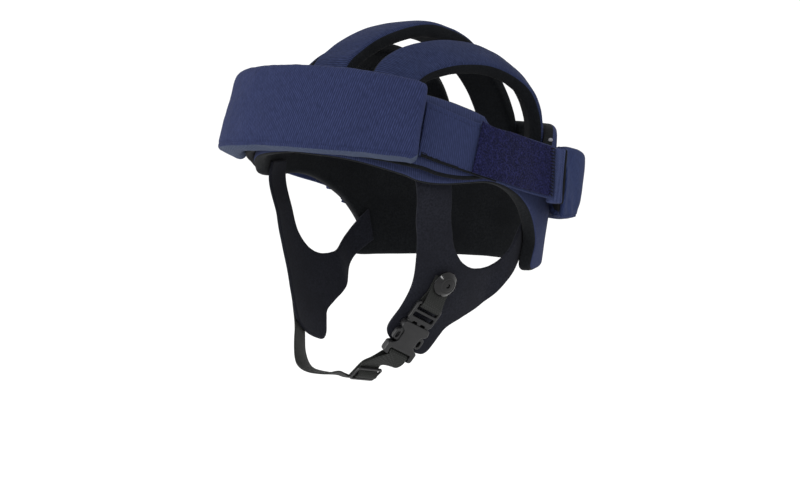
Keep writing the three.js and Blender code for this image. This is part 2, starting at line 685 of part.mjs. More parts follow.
function rollSolid() {
  const foot = bandPoint(ROLL_FOOT_ANGLE, ROLL_LOW, ROLL_OFFSET);
  const head = bandPoint(ROLL_HEAD_ANGLE, ROLL_HIGH, ROLL_OFFSET);
  const length = head.distanceTo(foot);
  const flat = ROLL_RADIUS - ROLL_EDGE;
  const profile = [
    [0, 0], [flat, 0], [ROLL_RADIUS, ROLL_EDGE],
    [ROLL_RADIUS, length - ROLL_EDGE], [flat, length], [0, length],
  ];
  return turned(profile, 12, foot, head.sub(foot).normalize());
}
const strapRoll = rollSolid();

// Ear yokes and the buttons on them
const yoke = yokeSolid();
const buttonProfile = [
  [0, 0], [BUTTON_RADIUS - 0.6, 0], [BUTTON_RADIUS, 0.6], [BUTTON_RADIUS, 1.6],
  [BUTTON_RADIUS - 1.4, 2.9], [BUTTON_RADIUS - 3, 3.3], [BUTTON_RADIUS - 3.6, BUTTON_HEIGHT - 0.4],
  [1.2, BUTTON_HEIGHT], [0.9, BUTTON_HEIGHT - 1.2], [0, BUTTON_HEIGHT - 1.2],
];

// Height of the middle of a webbing layer above the middle of the yoke sheet
function layerHeight(layer) {
  const pitch = WEBBING_THICKNESS + WEBBING_GAP;
  return YOKE_THICKNESS / 2 + WEBBING_GAP + WEBBING_THICKNESS / 2 + layer * pitch;
}

function buttonSolid(layers) {
  const height = layerHeight(layers - 1) + WEBBING_THICKNESS / 2 + WEBBING_GAP;
  const { point, normal } = yokePoint(BUTTON_Y, BUTTON_Z, height);
  return turned(buttonProfile, 14, point, normal);
}
addPiece(helmet, "yoke_button_left", buttonSolid(2), BLACK_PLASTIC, 0.35);
addPiece(helmet, "yoke_button_right", mirrorGeometry(buttonSolid(1)), BLACK_PLASTIC, 0.35);

// Small rivet on the rising edge of the shell, square to that edge
function napeRivetSolid() {
  const rows = curveThrough(SHELL_ROWS, 12 * SHELL_ROWS.length);
  const edgeAt = (angle, offset) => {
    const { high } = rows.find((row) => row.angle > angle);
    return bandPoint(angle, high, offset);
  };
  const seat = edgeAt(NAPE_RIVET_ANGLE, NAPE_RIVET_OFFSET);
  const below = edgeAt(NAPE_RIVET_ANGLE - 2, NAPE_RIVET_OFFSET);
  const rising = edgeAt(NAPE_RIVET_ANGLE + 2, NAPE_RIVET_OFFSET).sub(below);
  const outward = edgeAt(NAPE_RIVET_ANGLE, NAPE_RIVET_OFFSET + 1).sub(seat);
  const square = outward.cross(rising).normalize();
  seat.addScaledVector(square, NAPE_RIVET_GAP);
  const profile = [
    [0, 0], [NAPE_RIVET_RADIUS, 0], [NAPE_RIVET_RADIUS * 0.8, NAPE_RIVET_HEIGHT * 0.7], [0, NAPE_RIVET_HEIGHT],
  ];
  return turned(profile, 12, seat, square);
}
const napeRivet = napeRivetSolid();

for (const [side, handed] of [["left", (g) => g], ["right", mirrorGeometry]]) {
  addPiece(helmet, `side_strap_${side}`, handed(sideStrap), NAVY_DARK, 0.9);
  addPiece(helmet, `loop_patch_${side}`, handed(loopPatch), PILE_NAVY, 1);
  addPiece(helmet, `strap_roll_${side}`, handed(strapRoll), NAVY, 0.9);
  addPiece(helmet, `ear_yoke_${side}`, handed(yoke), BLACK_NEOPRENE, 0.95);
  addPiece(helmet, `nape_rivet_${side}`, handed(napeRivet), PALE_METAL, 0.4, 0.6);
}

// Buckle frame: X across, Y from the button towards the chin, Z off the yoke
function buckleMatrix() {
  const top = yokePoint(BUCKLE_START.y, BUCKLE_START.z, BUCKLE_LIFT);
  const foot = yokePoint(BUCKLE_END.y, BUCKLE_END.z, BUCKLE_LIFT);
  const along = foot.point.clone().sub(top.point).normalize();
  const out = top.normal.clone().add(foot.normal);
  out.addScaledVector(along, -out.dot(along)).normalize();
  const middle = top.point.addScaledVector(along, BUCKLE_MIDDLE);
  along.applyAxisAngle(out, radians(BUCKLE_TURN_DEG));
  const start = middle.addScaledVector(along, -BUCKLE_MIDDLE);
  const across = along.clone().cross(out);
  return new THREE.Matrix4().makeBasis(across, along, out).setPosition(start);
}
const buckle = new THREE.Group();
buckle.applyMatrix4(buckleMatrix());
helmet.add(buckle);

function slotCut(from, to, halfHeight, width = SLOT_WIDTH) {
  return boxAt(width, to - from, 2 * halfHeight, 0, (from + to) / 2, 0);
}

// Thins a plate above and below a webbing bar
function thinnedBar(solid, from, to, halfThickness) {
  const height = halfThickness - BAR_HALF_THICKNESS + 1;
  const middle = BAR_HALF_THICKNESS + height / 2;
  const above = boxAt(SLOT_WIDTH, to - from, height, 0, (from + to) / 2, middle);
  const below = boxAt(SLOT_WIDTH, to - from, height, 0, (from + to) / 2, -middle);
  return solid.subtract(above).subtract(below);
}

function maleSolid() {
  const half = MALE_HALF_THICKNESS;
  let solid = roundedPlate(MALE_WIDTH, 0, MALE_FRAME_END, -half, half, PLATE_CORNER);
  for (const { from, to } of MALE_SLOTS) {
    solid = solid.subtract(slotCut(from, to, half + 1));
  }
  solid = thinnedBar(solid, -1, MALE_BAR + 0.1, half);
  const tongueLength = MALE_TONGUE.end - MALE_FRAME_END + 1;
  const tongueMiddle = MALE_TONGUE.end - tongueLength / 2;
  solid = solid.add(boxAt(2 * MALE_TONGUE.halfWidth, tongueLength, 2 * half, 0, tongueMiddle, 0));
  const armLength = MALE_ARM.end - MALE_FRAME_END + 1;
  const wingWidth = MALE_WING.outside - MALE_ARM.inside;
  for (const side of [-1, 1]) {
    const armX = (side * (MALE_ARM.inside + MALE_ARM.outside)) / 2;
    const wingX = (side * (MALE_ARM.inside + MALE_WING.outside)) / 2;
    const wingLength = MALE_WING.end - MALE_WING.start;
    const wingMiddle = (MALE_WING.start + MALE_WING.end) / 2;
    const armWidth = MALE_ARM.outside - MALE_ARM.inside;
    solid = solid.add(boxAt(armWidth, armLength, 2 * half, armX, MALE_ARM.end - armLength / 2, 0));
    solid = solid.add(boxAt(wingWidth, wingLength, 2 * half, wingX, wingMiddle, 0));
  }
  return toGeometry(solid);
}

function femaleSolid() {
  const half = FEMALE_HALF_THICKNESS;
  const { halfWidth, halfHeight, end } = FEMALE_CAVITY;
  const { halfNeck, start, end: notchEnd } = FEMALE_NOTCH;
  let solid = roundedPlate(FEMALE_SHOULDER_WIDTH, FEMALE_START, FEMALE_SLOT.from, -half, half, PLATE_CORNER);
  solid = solid.add(roundedPlate(FEMALE_END_WIDTH, notchEnd, FEMALE_END, -half, half, PLATE_CORNER));
  solid = solid.subtract(slotCut(FEMALE_START - 1, end, halfHeight, 2 * halfWidth));
  const notchWidth = FEMALE_END_WIDTH / 2;
  for (const side of [-1, 1]) {
    const x = side * (halfNeck + notchWidth / 2);
    const middle = (start + notchEnd) / 2;
    solid = solid.subtract(boxAt(notchWidth, notchEnd - start, 2 * half + 2, x, middle, 0));
  }
  solid = solid.subtract(slotCut(FEMALE_SLOT.from, FEMALE_SLOT.to, half + 1));
  return toGeometry(thinnedBar(solid, FEMALE_SLOT.from, FEMALE_END + 1, half));
}
addPiece(buckle, "buckle_male", maleSolid(), BLACK_PLASTIC, 0.5);
addPiece(buckle, "buckle_female", femaleSolid(), BLACK_PLASTIC, 0.5);

// Flat webbing along a route of centre points with directions across it, and along it where known
function ribbon(route) {
  const points = route.map(({ centre }) => centre);
  const frames = route.map(({ centre, across, along: known }, i) => {
    const along = known ?? tangentAt(points, i);
    const flat = across.clone().addScaledVector(along, -across.dot(along)).normalize();
    return { centre, across: flat, out: along.clone().cross(flat) };
  });
  const w = WEBBING_WIDTH / 2;
  const t = WEBBING_THICKNESS / 2;
  return sweep(frames, [[-w, -t], [w, -t], [w, t], [-w, t]]);
}

buckle.updateMatrixWorld(true);
const inBuckle = (y, z) => new THREE.Vector3(0, y, z).applyMatrix4(buckle.matrixWorld);
const buckleAcross = new THREE.Vector3().setFromMatrixColumn(buckle.matrixWorld, 0).negate();

// Half turn of webbing round a buckle bar, from one face of it to the other
function turnRoundBar(barY, side) {
  const route = [];
  for (let i = 0; i <= TURN_STEPS; i += 1) {
    const a = Math.PI * (i / TURN_STEPS - 0.5);
    const y = barY + side * TURN_RADIUS * Math.cos(a);
    route.push({ centre: inBuckle(y, TURN_RADIUS * Math.sin(a)), across: buckleAcross });
  }
  return route;
}

// Tab from under the button, round the first bar of the buckle, and back under the button
function tabSolid() {
  const alongY = (BUCKLE_START.y - BUTTON_Y) / BUTTON_TO_BUCKLE;
  const alongZ = (BUCKLE_START.z - BUTTON_Z) / BUTTON_TO_BUCKLE;
  const layer = (number) => [-TAB_HEAD, 0, TAB_REACH].map((place) => {
    const height = layerHeight(number);
    const y = BUTTON_Y + place * alongY;
    const z = BUTTON_Z + place * alongZ;
    const { point, normal } = yokePoint(y, z, height);
    return { centre: point, across: buckleAcross.clone().projectOnPlane(normal) };
  });
  const barStart = (height) => ({ centre: inBuckle(-MALE_BAR / 2, height), across: buckleAcross });
  const turn = turnRoundBar(MALE_BAR / 2, 1);
  const below = [...layer(0), barStart(-TURN_RADIUS)];
  const above = [barStart(TURN_RADIUS), ...layer(1).reverse()];
  return ribbon([...below, ...turn, ...above]);
}
addPiece(helmet, "buckle_tab", tabSolid(), BLACK_WEBBING, 0.9);

// Middle line of the chin strap from the buckle's last bar to the right yoke
function chinLine() {
  const bar = inBuckle((FEMALE_SLOT.to + FEMALE_END) / 2, 0);
  const first = {
    x: bar.x, y: bar.y, z: bar.z,
    acrossX: buckleAcross.x, acrossY: buckleAcross.y, acrossZ: buckleAcross.z,
  };
  const mirror = new THREE.Vector3(-1, 1, 1);
  const onYoke = YOKE_END_ROWS.map(({ y, z }) => yokePoint(y, z, layerHeight(0)));
  const points = onYoke.map(({ point }) => point.clone().multiply(mirror));
  const last = onYoke.map(({ normal }, i) => {
    const across = normal.clone().multiply(mirror).cross(tangentAt(points, i));
    const { x, y, z } = points[i];
    return { x, y, z, acrossX: across.x, acrossY: across.y, acrossZ: across.z };
  });
  return [first, ...CHIN_ROWS, ...last];
}

// Places along that line by length, with the directions of the webbing there
const LINE_STEPS = 20;
function measuredLine(rows) {
  const stations = curveThrough(rows, LINE_STEPS * (rows.length - 1) + 1);
  const points = stations.map(({ x, y, z }) => new THREE.Vector3(x, y, z));
  const lengths = [0];
  for (let i = 1; i < points.length; i += 1) {
    lengths.push(lengths[i - 1] + points[i].distanceTo(points[i - 1]));
  }
  const frameAt = (place) => {
    const found = lengths.findIndex((length) => length >= place);
    const i = found < 0 ? points.length - 1 : Math.max(found, 1);
    const f = THREE.MathUtils.clamp((place - lengths[i - 1]) / (lengths[i] - lengths[i - 1]), 0, 1);
    const centre = points[i - 1].clone().lerp(points[i], f);
    const { acrossX, acrossY, acrossZ } = stations[i];
    const along = tangentAt(points, i);
    const across = new THREE.Vector3(acrossX, acrossY, acrossZ);
    across.addScaledVector(along, -across.dot(along)).normalize();
    return { centre, along, across, out: along.clone().cross(across) };
  };
  return { frameAt, total: lengths[lengths.length - 1], sliderPlace: lengths[LINE_STEPS] };
}
const chin = measuredLine(chinLine());
// The slider lies as its row says, and the webbing bends where it leaves it
function squareFrame({ centre, along }, { acrossX, acrossY, acrossZ }) {
  const across = new THREE.Vector3(acrossX, acrossY, acrossZ).normalize();
  const square = along.clone().addScaledVector(across, -along.dot(across)).normalize();
  return { centre, along: square, across, out: square.clone().cross(across) };
}
const sliderFrame = squareFrame(chin.frameAt(chin.sliderPlace), CHIN_ROWS[0]);

// Chin strap: loose end behind the slider, round the buckle bar, back through the slider and on
function chinStrapSolid() {
  const edge = SLIDER_MIDDLE_BAR / 2 + 0.5;
  const far = SLIDER_MIDDLE_BAR / 2 + SLIDER_SLOT - 0.5;
  const barY = (FEMALE_SLOT.to + FEMALE_END) / 2;
  const nearBar = (lift) => ({ centre: inBuckle(barY + BAR_RUN, lift), across: buckleAcross });
  const atSlider = (place, lift) => {
    const { along, across, out } = sliderFrame;
    const centre = sliderFrame.centre.clone().addScaledVector(along, place).addScaledVector(out, lift);
    return { centre, across, along };
  };
  const behind = -SLIDER_WEAVE - WEBBING_THICKNESS - LAYER_GAP;
  const looseEnd = [far + 3, -far - 6].map((place) => atSlider(place, behind));
  const woven = [
    nearBar(TURN_RADIUS - 1),
    atSlider(-far - 6, -SLIDER_WEAVE),
    atSlider(-far, -SLIDER_WEAVE),
    atSlider(-edge, SLIDER_WEAVE),
    atSlider(edge, SLIDER_WEAVE),
    atSlider(far, -SLIDER_WEAVE),
    atSlider(far + 3, -SLIDER_WEAVE),
  ];
  const plain = [];
  for (let place = chin.sliderPlace + far + 1.6 * STRAP_STEP; place < chin.total; place += STRAP_STEP) {
    plain.push(chin.frameAt(place));
  }
  plain.push(chin.frameAt(chin.total));
  return ribbon([...looseEnd, nearBar(-TURN_RADIUS), ...turnRoundBar(barY, -1), ...woven, ...plain]);
}
addPiece(helmet, "chin_strap", chinStrapSolid(), BLACK_WEBBING, 0.9);

function sliderSolid() {
  const length = 2 * SLIDER_OUTER_BAR + 2 * SLIDER_SLOT + SLIDER_MIDDLE_BAR;
  const half = SLIDER_HALF_THICKNESS;
  let solid = roundedPlate(SLIDER_WIDTH, -length / 2, length / 2, -half, half, PLATE_CORNER);
  const near = SLIDER_MIDDLE_BAR / 2;
  solid = solid.subtract(slotCut(near, near + SLIDER_SLOT, half + 1));
  solid = solid.subtract(slotCut(-near - SLIDER_SLOT, -near, half + 1));
  return toGeometry(solid);
}
const slider = addPiece(helmet, "strap_slider", sliderSolid(), BLACK_PLASTIC, 0.5);
const { centre, along, across, out } = sliderFrame;
const sliderBasis = new THREE.Matrix4().makeBasis(across.clone().negate(), along, out);
slider.applyMatrix4(sliderBasis.setPosition(centre));

export default helmet;
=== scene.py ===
import math

import bmesh
import bpy
import numpy as np
from mathutils import Matrix, Vector, noise


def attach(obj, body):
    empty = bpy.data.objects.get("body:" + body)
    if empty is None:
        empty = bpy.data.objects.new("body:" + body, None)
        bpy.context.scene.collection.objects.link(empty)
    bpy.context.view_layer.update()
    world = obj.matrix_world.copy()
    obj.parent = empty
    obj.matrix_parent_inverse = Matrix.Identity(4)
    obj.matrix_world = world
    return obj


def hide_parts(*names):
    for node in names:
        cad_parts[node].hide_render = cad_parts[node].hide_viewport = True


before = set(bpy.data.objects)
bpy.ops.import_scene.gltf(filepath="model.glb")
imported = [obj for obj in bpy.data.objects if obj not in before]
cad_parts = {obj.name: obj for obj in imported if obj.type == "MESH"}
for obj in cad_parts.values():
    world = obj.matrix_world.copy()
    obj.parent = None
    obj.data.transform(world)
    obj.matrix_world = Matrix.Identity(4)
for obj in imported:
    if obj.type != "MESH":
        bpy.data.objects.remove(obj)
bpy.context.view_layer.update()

bl_info = {
    "name": "Soft protective helmet",
    "version": (1, 0, 0),
    "blender": (4, 5, 0),
    "location": "3D View > Sidebar > Helmet",
    "description": "Builds the cloth, foam, webbing and buckle of a soft protective helmet",
    "category": "Object",
}

MM = 0.001

# Oval form that every band follows; lengths are in millimetres here and below
FORM_HALF_LENGTH = 98
FORM_HALF_WIDTH = 79
FORM_ROUNDNESS = 2.2
CONE_LEAN_DEG = 7
FRONT_LEAN_DEG = 13
NAPE_TUCK = 0.146
NAPE_TUCK_START = -10
NAPE_TUCK_EASE = 20
HOOK_TOP = -62
HOOK_BOTTOM = -84

# Foam bumpers, padded bands and crown arches
BUMPER_END_ROUND = 5
BUMPER_CORNERS = (1.2, 5, 3.5, 7)
FRONT_SEAM = 0.35
FRONT_SLACK = 0.01
FRONT_END_RISE = 3
REAR_SEAM = 0.2
REAR_SLACK = 0.03
PAD_SLIM = 0.7
PAD_SWELL = 1.6
FLAP_END_ROUND = 10
FLAP_HEM = 3.4
FLAP_HEM_DEPTH = 0.5
BAND_CORNER = 2.2
# Lowest share of the front band's outer face in black lining: painted shadow of the gap between the band and
# the headband
BAND_SHADE_MARGIN = 0.05
SHELL_CORNER = 3
MIDDLE_ARCH_WIDTH = 32
SIDE_ARCH_WIDTH = 30
ARCH_THICKNESS = 10.5
ARCH_CROWN = 1.2
ARCH_CORNER = 3.2
ARCH_SWELL = 0.8
ARCH_SLACK = 0.02

# Side straps, their pile patches and rolled ends; angles are in degrees
STRAP_EDGE = 1
STRAP_HEM = 3.2
STRAP_HEM_DEPTH = 0.35
STRAP_LOWER_SEAM = 2.2
WHIP_LENGTH = 5.4
WHIP_GAP = 0.4
WHIP_WIDTH = 0.9
PATCH_GAP = 0.6
PATCH_THICKNESS = 1.6
PATCH_EDGE = 0.6
PATCH_START_ANGLE = 65.5
PATCH_START_SLANT = 7
PATCH_END_ANGLE = 101.4
PATCH_END_SLANT = 3.2
PATCH_INSET = 1.2
ROLL_RADIUS = 6.2
ROLL_SLIM = 0.4
ROLL_EDGE = 1.6
# Share of the way round each roll in black lining: painted shade of the crevice between the roll and the
# rear bumper
ROLL_SHADE_STRIP = (0.262, 0.45)
ROLL_FOOT_ANGLE = 106.3
ROLL_HEAD_ANGLE = 110.1
ROLL_OFFSET = 28.5
ROLL_LOW = -36
ROLL_HIGH = -0.5

# Ear yokes, press buttons and small rivets
YOKE_THICKNESS = 2.4
YOKE_EDGE = 1.3
YOKE_OFFSET = 1.3
YOKE_FREE_Z = -45
YOKE_TUCKED_Z = -12
YOKE_FREE_Y = 0
YOKE_TUCKED_Y = 25
BUTTON_Y = -40.9
BUTTON_Z = -82.2
NAPE_RIVET_ANGLE = 137.5
NAPE_RIVET_OFFSET = 10
NAPE_RIVET_GAP = 0.2
POINT_RADIUS = 0.01

# Webbing, buckle and slider; places on the yoke are (y, z)
WEBBING_WIDTH = 15
WEBBING_THICKNESS = 1.2
WEBBING_EDGE = 0.5
WEBBING_GAP = 0.55
LAYER_GAP = 0.4
TURN_RADIUS = 2.6
BAR_RUN = 3.6
STRAP_STEP = 7
BUTTON_TO_BUCKLE = 16.2
TAB_REACH = 9
TAB_HEAD = 3
BUCKLE_START = (-45.8, -96.3)
BUCKLE_END = (-61.7, -127.5)
BUCKLE_LIFT = 5.2
BUCKLE_TURN_DEG = 4.5
BUCKLE_MIDDLE = 20
SLOT_WIDTH = 16.8
SLOT_CORNER = 0.9
MALE_BAR = 2.2
MALE_SLOTS = ((2.2, 6), (8, 11.2))
MALE_HALF_THICKNESS = 1.7
MALE_EDGE = 0.6
WING_HOLE_X = 9
WING_HOLE_Y = 27
WING_HOLE_HALF_WIDTH = 1.1
WING_HOLE_HALF_LENGTH = 2.4
FEMALE_SLOT_FROM = 36.5
FEMALE_SLOT_TO = 39
FEMALE_END = 41.4
FEMALE_HALF_THICKNESS = 3.2
FEMALE_EDGE = 1
FEMALE_CAVITY = (0, 23.6, 0, 18.8, 18, 4.2)
BAR_RECESS_LIFT = 2.9
BAR_RECESS_HEIGHT = 4
SLIDER_HALF_THICKNESS = 0.8
SLIDER_EDGE = 0.4
SLIDER_CORNER = 2.6
SLIDER_WIDTH = 19
SLIDER_SLOT = 4
SLIDER_OUTER_BAR = 1.9
SLIDER_MIDDLE_BAR = 2.2
SLIDER_WEAVE = 1.8


def columns(names, *rows):
    """Rows of numbers as a table with named columns."""
    keys = names.split()
    return [dict(zip(keys, row)) for row in rows]


# Half tables from the front (0 degrees) to the back (180 degrees)
BUMPER_ROWS = columns(
    "angle slant low high inner outer undercut",
    (0, 0, 10.4, 61, 18.7, 39, 0.3),
    (15, 1, 9.3, 60, 18.7, 39, 0.3),
    (30, 2.5, 6.8, 56.5, 18.7, 39, 0.36),
    (46, 4.9, 2, 49, 18.7, 38.7, 0.45),
)
FRONT_BAND_ROWS = columns(
    "angle slant low high inner outer undercut",
    (0, 0, 5.5, 47, 11.8, 18.2, 0),
    (15, 0, 4.4, 46.5, 11.8, 18.2, 0),
    (30, 0, 1, 45, 11.8, 18.2, 0),
    (47, 0, -6.6, 41, 11.8, 18.2, 0),
    (54, 0, -11.6, 38, 11.8, 18.2, 0),
    (62, 0, -14.7, 33.7, 11.8, 18.2, 0),
    (70, 0, -15.3, 28.6, 11.8, 18.2, 0),
    (76, 0, -14.5, 24, 11.8, 18.2, 0),
    (82, 1, -12, 18, 11.8, 18.2, 0),
)
SHELL_ROWS = columns(
    "angle slant low high inner outer",
    (0, 0, 3.5, 42, 3, 11),
    (15, 0, 1.4, 41, 3, 11),
    (27, 0, -2.4, 39, 3, 11),
    (41, 0, -10.3, 34, 3, 11),
    (47, 0, -15.1, 31, 3, 11),
    (54, 0, -17.6, 27, 3, 11),
    (62, 0, -18.4, 22, 3, 11),
    (75, 0, -18.7, 12, 3, 11),
    (84, 0, -21.5, 3, 3, 11),
    (92, 0, -27, -3, 3, 11.5),
    (98, 0, -33, -5, 3, 12),
    (104, 0, -41, -5, 3, 12.4),
    (109, 0, -51, -4.5, 3.3, 12.7),
    (112.5, 6, -62, -4, 3.5, 13),
    (114.5, 9, -74, -3.5, 3.6, 13),
    (118, 9, -82, -4, 3.8, 13.2),
    (128, 7, -83.5, -5, 4.2, 13.6),
    (134, 6, -84, -3.5, 4.6, 14.1),
    (138, 5, -84.3, 3, 4.8, 14.4),
    (143, 4, -84.7, 9.5, 5.1, 14.7),
    (151, 2.7, -85.1, 12.2, 5.6, 15.1),
    (164, 1.5, -85.4, 12.8, 5.9, 15.4),
    (180, 0, -85.5, 13.5, 6, 15.5),
)
REAR_BUMPER_ROWS = columns(
    "angle slant low high inner outer undercut setback",
    (107, 3.9, -46.5, -0.2, 14.2, 33, 0, 17.5),
    (125, 1, -49.5, -2.5, 14.7, 34, 0, 8),
    (150, 0, -54, -7.5, 15.7, 34.5, 0, 0),
    (180, 0, -56.5, -9.5, 16, 34.5, 0, 0),
)
SIDE_STRAP_ROWS = columns(
    "angle slant low high inner outer undercut",
    (47, 4.3, 2, 35, 18.9, 21.9, 0),
    (54, 3, -3.4, 30.6, 18.9, 21.9, 0),
    (66, 2, -11.6, 22.3, 18.9, 21.9, 0),
    (76, 1, -17.6, 17, 18.9, 21.9, 0),
    (86, 0, -23.3, 13.4, 19.1, 22.1, 0),
    (95.5, 1.5, -28.2, 7.6, 20.6, 23.6, 0),
    (103.2, 3.7, -32.4, 1.6, 26, 29, 0),
)

# Middle lines of the crown arches, with the roll of each strap to its side
MIDDLE_ARCH_ROWS = columns(
    "x y z roll",
    (0, -90, 27, 0),
    (0, -84.2, 42, 0),
    (0, -71, 60.5, 0),
    (0, -57, 69.8, 0),
    (0, -41, 77, 0),
    (0, -24, 82, 0),
    (0, -6, 85.3, 0),
    (0, 14, 86, 0),
    (0, 34, 82, 0),
    (0, 53, 74, 0),
    (0, 72, 60.5, 0),
    (0, 88, 43.5, 0),
    (0, 99, 25, 0),
    (0, 103.4, 8, 0),
    (0, 102.3, -6, 0),
)
SIDE_ARCH_ROWS = columns(
    "x y z roll",
    (50.7, -71.4, 22, 46),
    (48.7, -68, 36, 42),
    (44.6, -56, 51, 36),
    (43.8, -39.5, 60.3, 33),
    (45, -18, 65.2, 33),
    (46, 5, 66.3, 33),
    (46.5, 28, 64, 33),
    (48, 50, 57, 34),
    (50, 68, 45.5, 36),
    (51, 79.8, 30, 39),
    (51.6, 84.9, 12, 42),
    (50.8, 84, -6, 42),
)

# Creases of the rolled strap ends
ROLL_CREASES = columns(
    "turn depth width sway",
    (-0.35, 0.5, 0.16, 0.1),
    (0.25, 0.7, 0.12, 0.12),
    (0.95, 0.8, 0.11, 0.1),
    (1.32, 1.1, 0.09, 0.1),
    (1.72, 0.9, 0.1, 0.08),
    (2.1, 0.8, 0.12, 0.1),
)

# Form that the ear yokes lie on, the yokes, and the way of the chin strap
CHEEK_ROWS = columns(
    "z half_width half_length",
    (-160, 42, 86),
    (-130, 51, 88),
    (-110, 59.5, 91),
    (-90, 68, 94),
    (-65, 75, 97),
    (-40, 79, 98),
    (20, 80.5, 98),
)
YOKE_ROWS = columns(
    "outer_y outer_z ear_y ear_z",
    (-64.5, -7, -42.5, -8),
    (-65, -18, -42, -20),
    (-63.5, -32, -40.8, -34),
    (-61.5, -48, -38.8, -47),
    (-60.2, -65, -35.5, -59.5),
    (-60, -82, -29, -69),
    (-63.5, -97, -23, -73.5),
    (-68, -112, -18, -75.7),
    (-60, -123.5, -14, -76.7),
    (-46, -131, -10.5, -77),
    (-37, -131.5, -7.5, -77.2),
    (-28, -117, -4, -77),
    (-15.5, -110.5, 0.5, -76.5),
    (-2.5, -104.8, 5.5, -74.5),
    (7.5, -97.5, 10.5, -71),
    (15.5, -88.5, 18, -64.8),
    (25, -80, 26, -57.3),
    (37, -72, 36, -49),
)
CHIN_ROWS = columns(
    "x y z across_x across_y across_z",
    (29.5, -75, -142.6, 0.2, 0.95, -0.21),
    (18.5, -82.5, -142.8, 0.2, 0.92, -0.34),
    (8, -87, -143, 0.06, 0.98, -0.18),
    (-8, -87, -143, -0.06, 0.98, -0.18),
    (-22, -82, -140.5, -0.14, 0.94, -0.32),
    (-35, -73, -132.5, -0.2, 0.83, -0.52),
)
YOKE_END_ROWS = ((-63, -121), (-54, -106), (-45.5, -92), (-37.5, -79))

# How finely the pieces are drawn
CORNER_STEPS = 5
END_STEPS = 8
CAP_STEPS = 4
FACE_GATHER = 1.7
# Strips of black lining at each strap's lower edge: painted shade in a wedge from the front end
SHADE_WEDGE_STRIPS = 5
WHIP_STITCHES = 15
ROLL_SIDES = 112
ROLL_STEPS = 24
BUTTON_SIDES = 48
RIVET_SIDES = 24
FILLET_STEPS = 5
OVAL_STEPS = 20
TURN_STEPS = 5

# Cloth over padding: a coarse net of the skin, blown out for a few frames
NET_RING_STEP = 3
NET_POINT_STEP = 3
CLOTH_FRAMES = 20
CLOTH_PRESSURE = 4

# Sides of a section: outer face, upper edge, inner face, lower edge
FACE = 0
UPPER = 1
INNER = 2
LOWER = 3

# From the wearer's left to the right
FLIP = Vector((-1, 1, 1))


# Curves and the form of the bands


def curve_through(rows, count):
    """Smooth curve through the rows of a table, column by column, at even stations."""
    last = len(rows) - 1
    stations = []
    for i in range(count):
        place = i / (count - 1) * last
        at = min(int(place), last - 1)
        f = place - at
        station = {}
        for key in rows[0]:
            b = rows[at][key]
            c = rows[at + 1][key]
            a = rows[at - 1][key] if at > 0 else 2 * b - c
            d = rows[at + 2][key] if at + 1 < last else 2 * c - b
            bend = (2 * a - 5 * b + 4 * c - d) * f * f + (3 * b - a - 3 * c + d) * f**3
            station[key] = 0.5 * (2 * b + (c - a) * f + bend)
        stations.append(station)
    return stations


def both_halves(rows):
    """A half table that starts at the middle, joined to its mirror image."""
    mirrored = [{**row, "angle": -row["angle"], "slant": -row["slant"]} for row in rows[:0:-1]]
    return mirrored + rows


def around_the_back(rows):
    """A half table that ends at the back, carried on round the other side."""
    mirrored = []
    for row in rows[-2::-1]:
        turned_over = {**row, "angle": 360 - row["angle"], "slant": -row["slant"]}
        if "setback" in row:
            turned_over["setback"] = -row["setback"]
        mirrored.append(turned_over)
    return rows + mirrored


def smoothstep(value, start, end):
    """Share from nought to one between a start and an end, without a kink at either."""
    f = min(max((value - start) / (end - start), 0), 1)
    return f * f * (3 - 2 * f)


def band_radius(angle, z, offset):
    """Distance from the middle axis to a band that lies at an offset over the oval form."""
    along = abs(math.cos(angle)) / FORM_HALF_LENGTH
    across = abs(math.sin(angle)) / FORM_HALF_WIDTH
    form = (along**FORM_ROUNDNESS + across**FORM_ROUNDNESS) ** (-1 / FORM_ROUNDNESS)
    lean = math.tan(math.radians(CONE_LEAN_DEG + FRONT_LEAN_DEG * math.cos(angle)))
    depth = max(0, NAPE_TUCK_START - z)
    return form + offset - lean * z - NAPE_TUCK * depth * depth / (depth + NAPE_TUCK_EASE)


def band_point(angle_deg, z, offset):
    """Point of such a band, at an angle from the front towards the wearer's left."""
    angle = math.radians(angle_deg)
    radius = band_radius(angle, z, offset)
    return Vector((radius * math.sin(angle), -radius * math.cos(angle), z))


# Sections, rings and meshes


def section(across0, across1, up0, up1, corners, counts, gather=1.0):
    """Rounded rectangle as (across, up, side, share) points.

    A point before a side proper, in the corner that leads into it, has a share below nought.
    A gather above one draws the points of the outer face towards its lower edge.
    """
    limit = 0.49 * min(across1 - across0, up1 - up0)
    radii = [min(corner, limit) for corner in corners]
    centres = (
        (across1 - radii[0], up0 + radii[0]),
        (across1 - radii[1], up1 - radii[1]),
        (across0 + radii[2], up1 - radii[2]),
        (across0 + radii[3], up0 + radii[3]),
    )
    points = []
    for side in range(4):
        turn = 90 * side - 90
        for i in range(CORNER_STEPS):
            a = math.radians(turn + 90 * i / CORNER_STEPS)
            across = centres[side][0] + radii[side] * math.cos(a)
            up = centres[side][1] + radii[side] * math.sin(a)
            points.append((across, up, side, i / CORNER_STEPS - 1))
        a = math.radians(turn + 90)
        following = (side + 1) % 4
        start = [centres[side][k] + radii[side] * (math.cos(a), math.sin(a))[k] for k in (0, 1)]
        end = [centres[following][k] + radii[following] * (math.cos(a), math.sin(a))[k] for k in (0, 1)]
        for i in range(counts[side]):
            f = (i / counts[side]) ** (gather if side == FACE else 1)
            points.append((start[0] + (end[0] - start[0]) * f, start[1] + (end[1] - start[1]) * f, side, f))
    return points


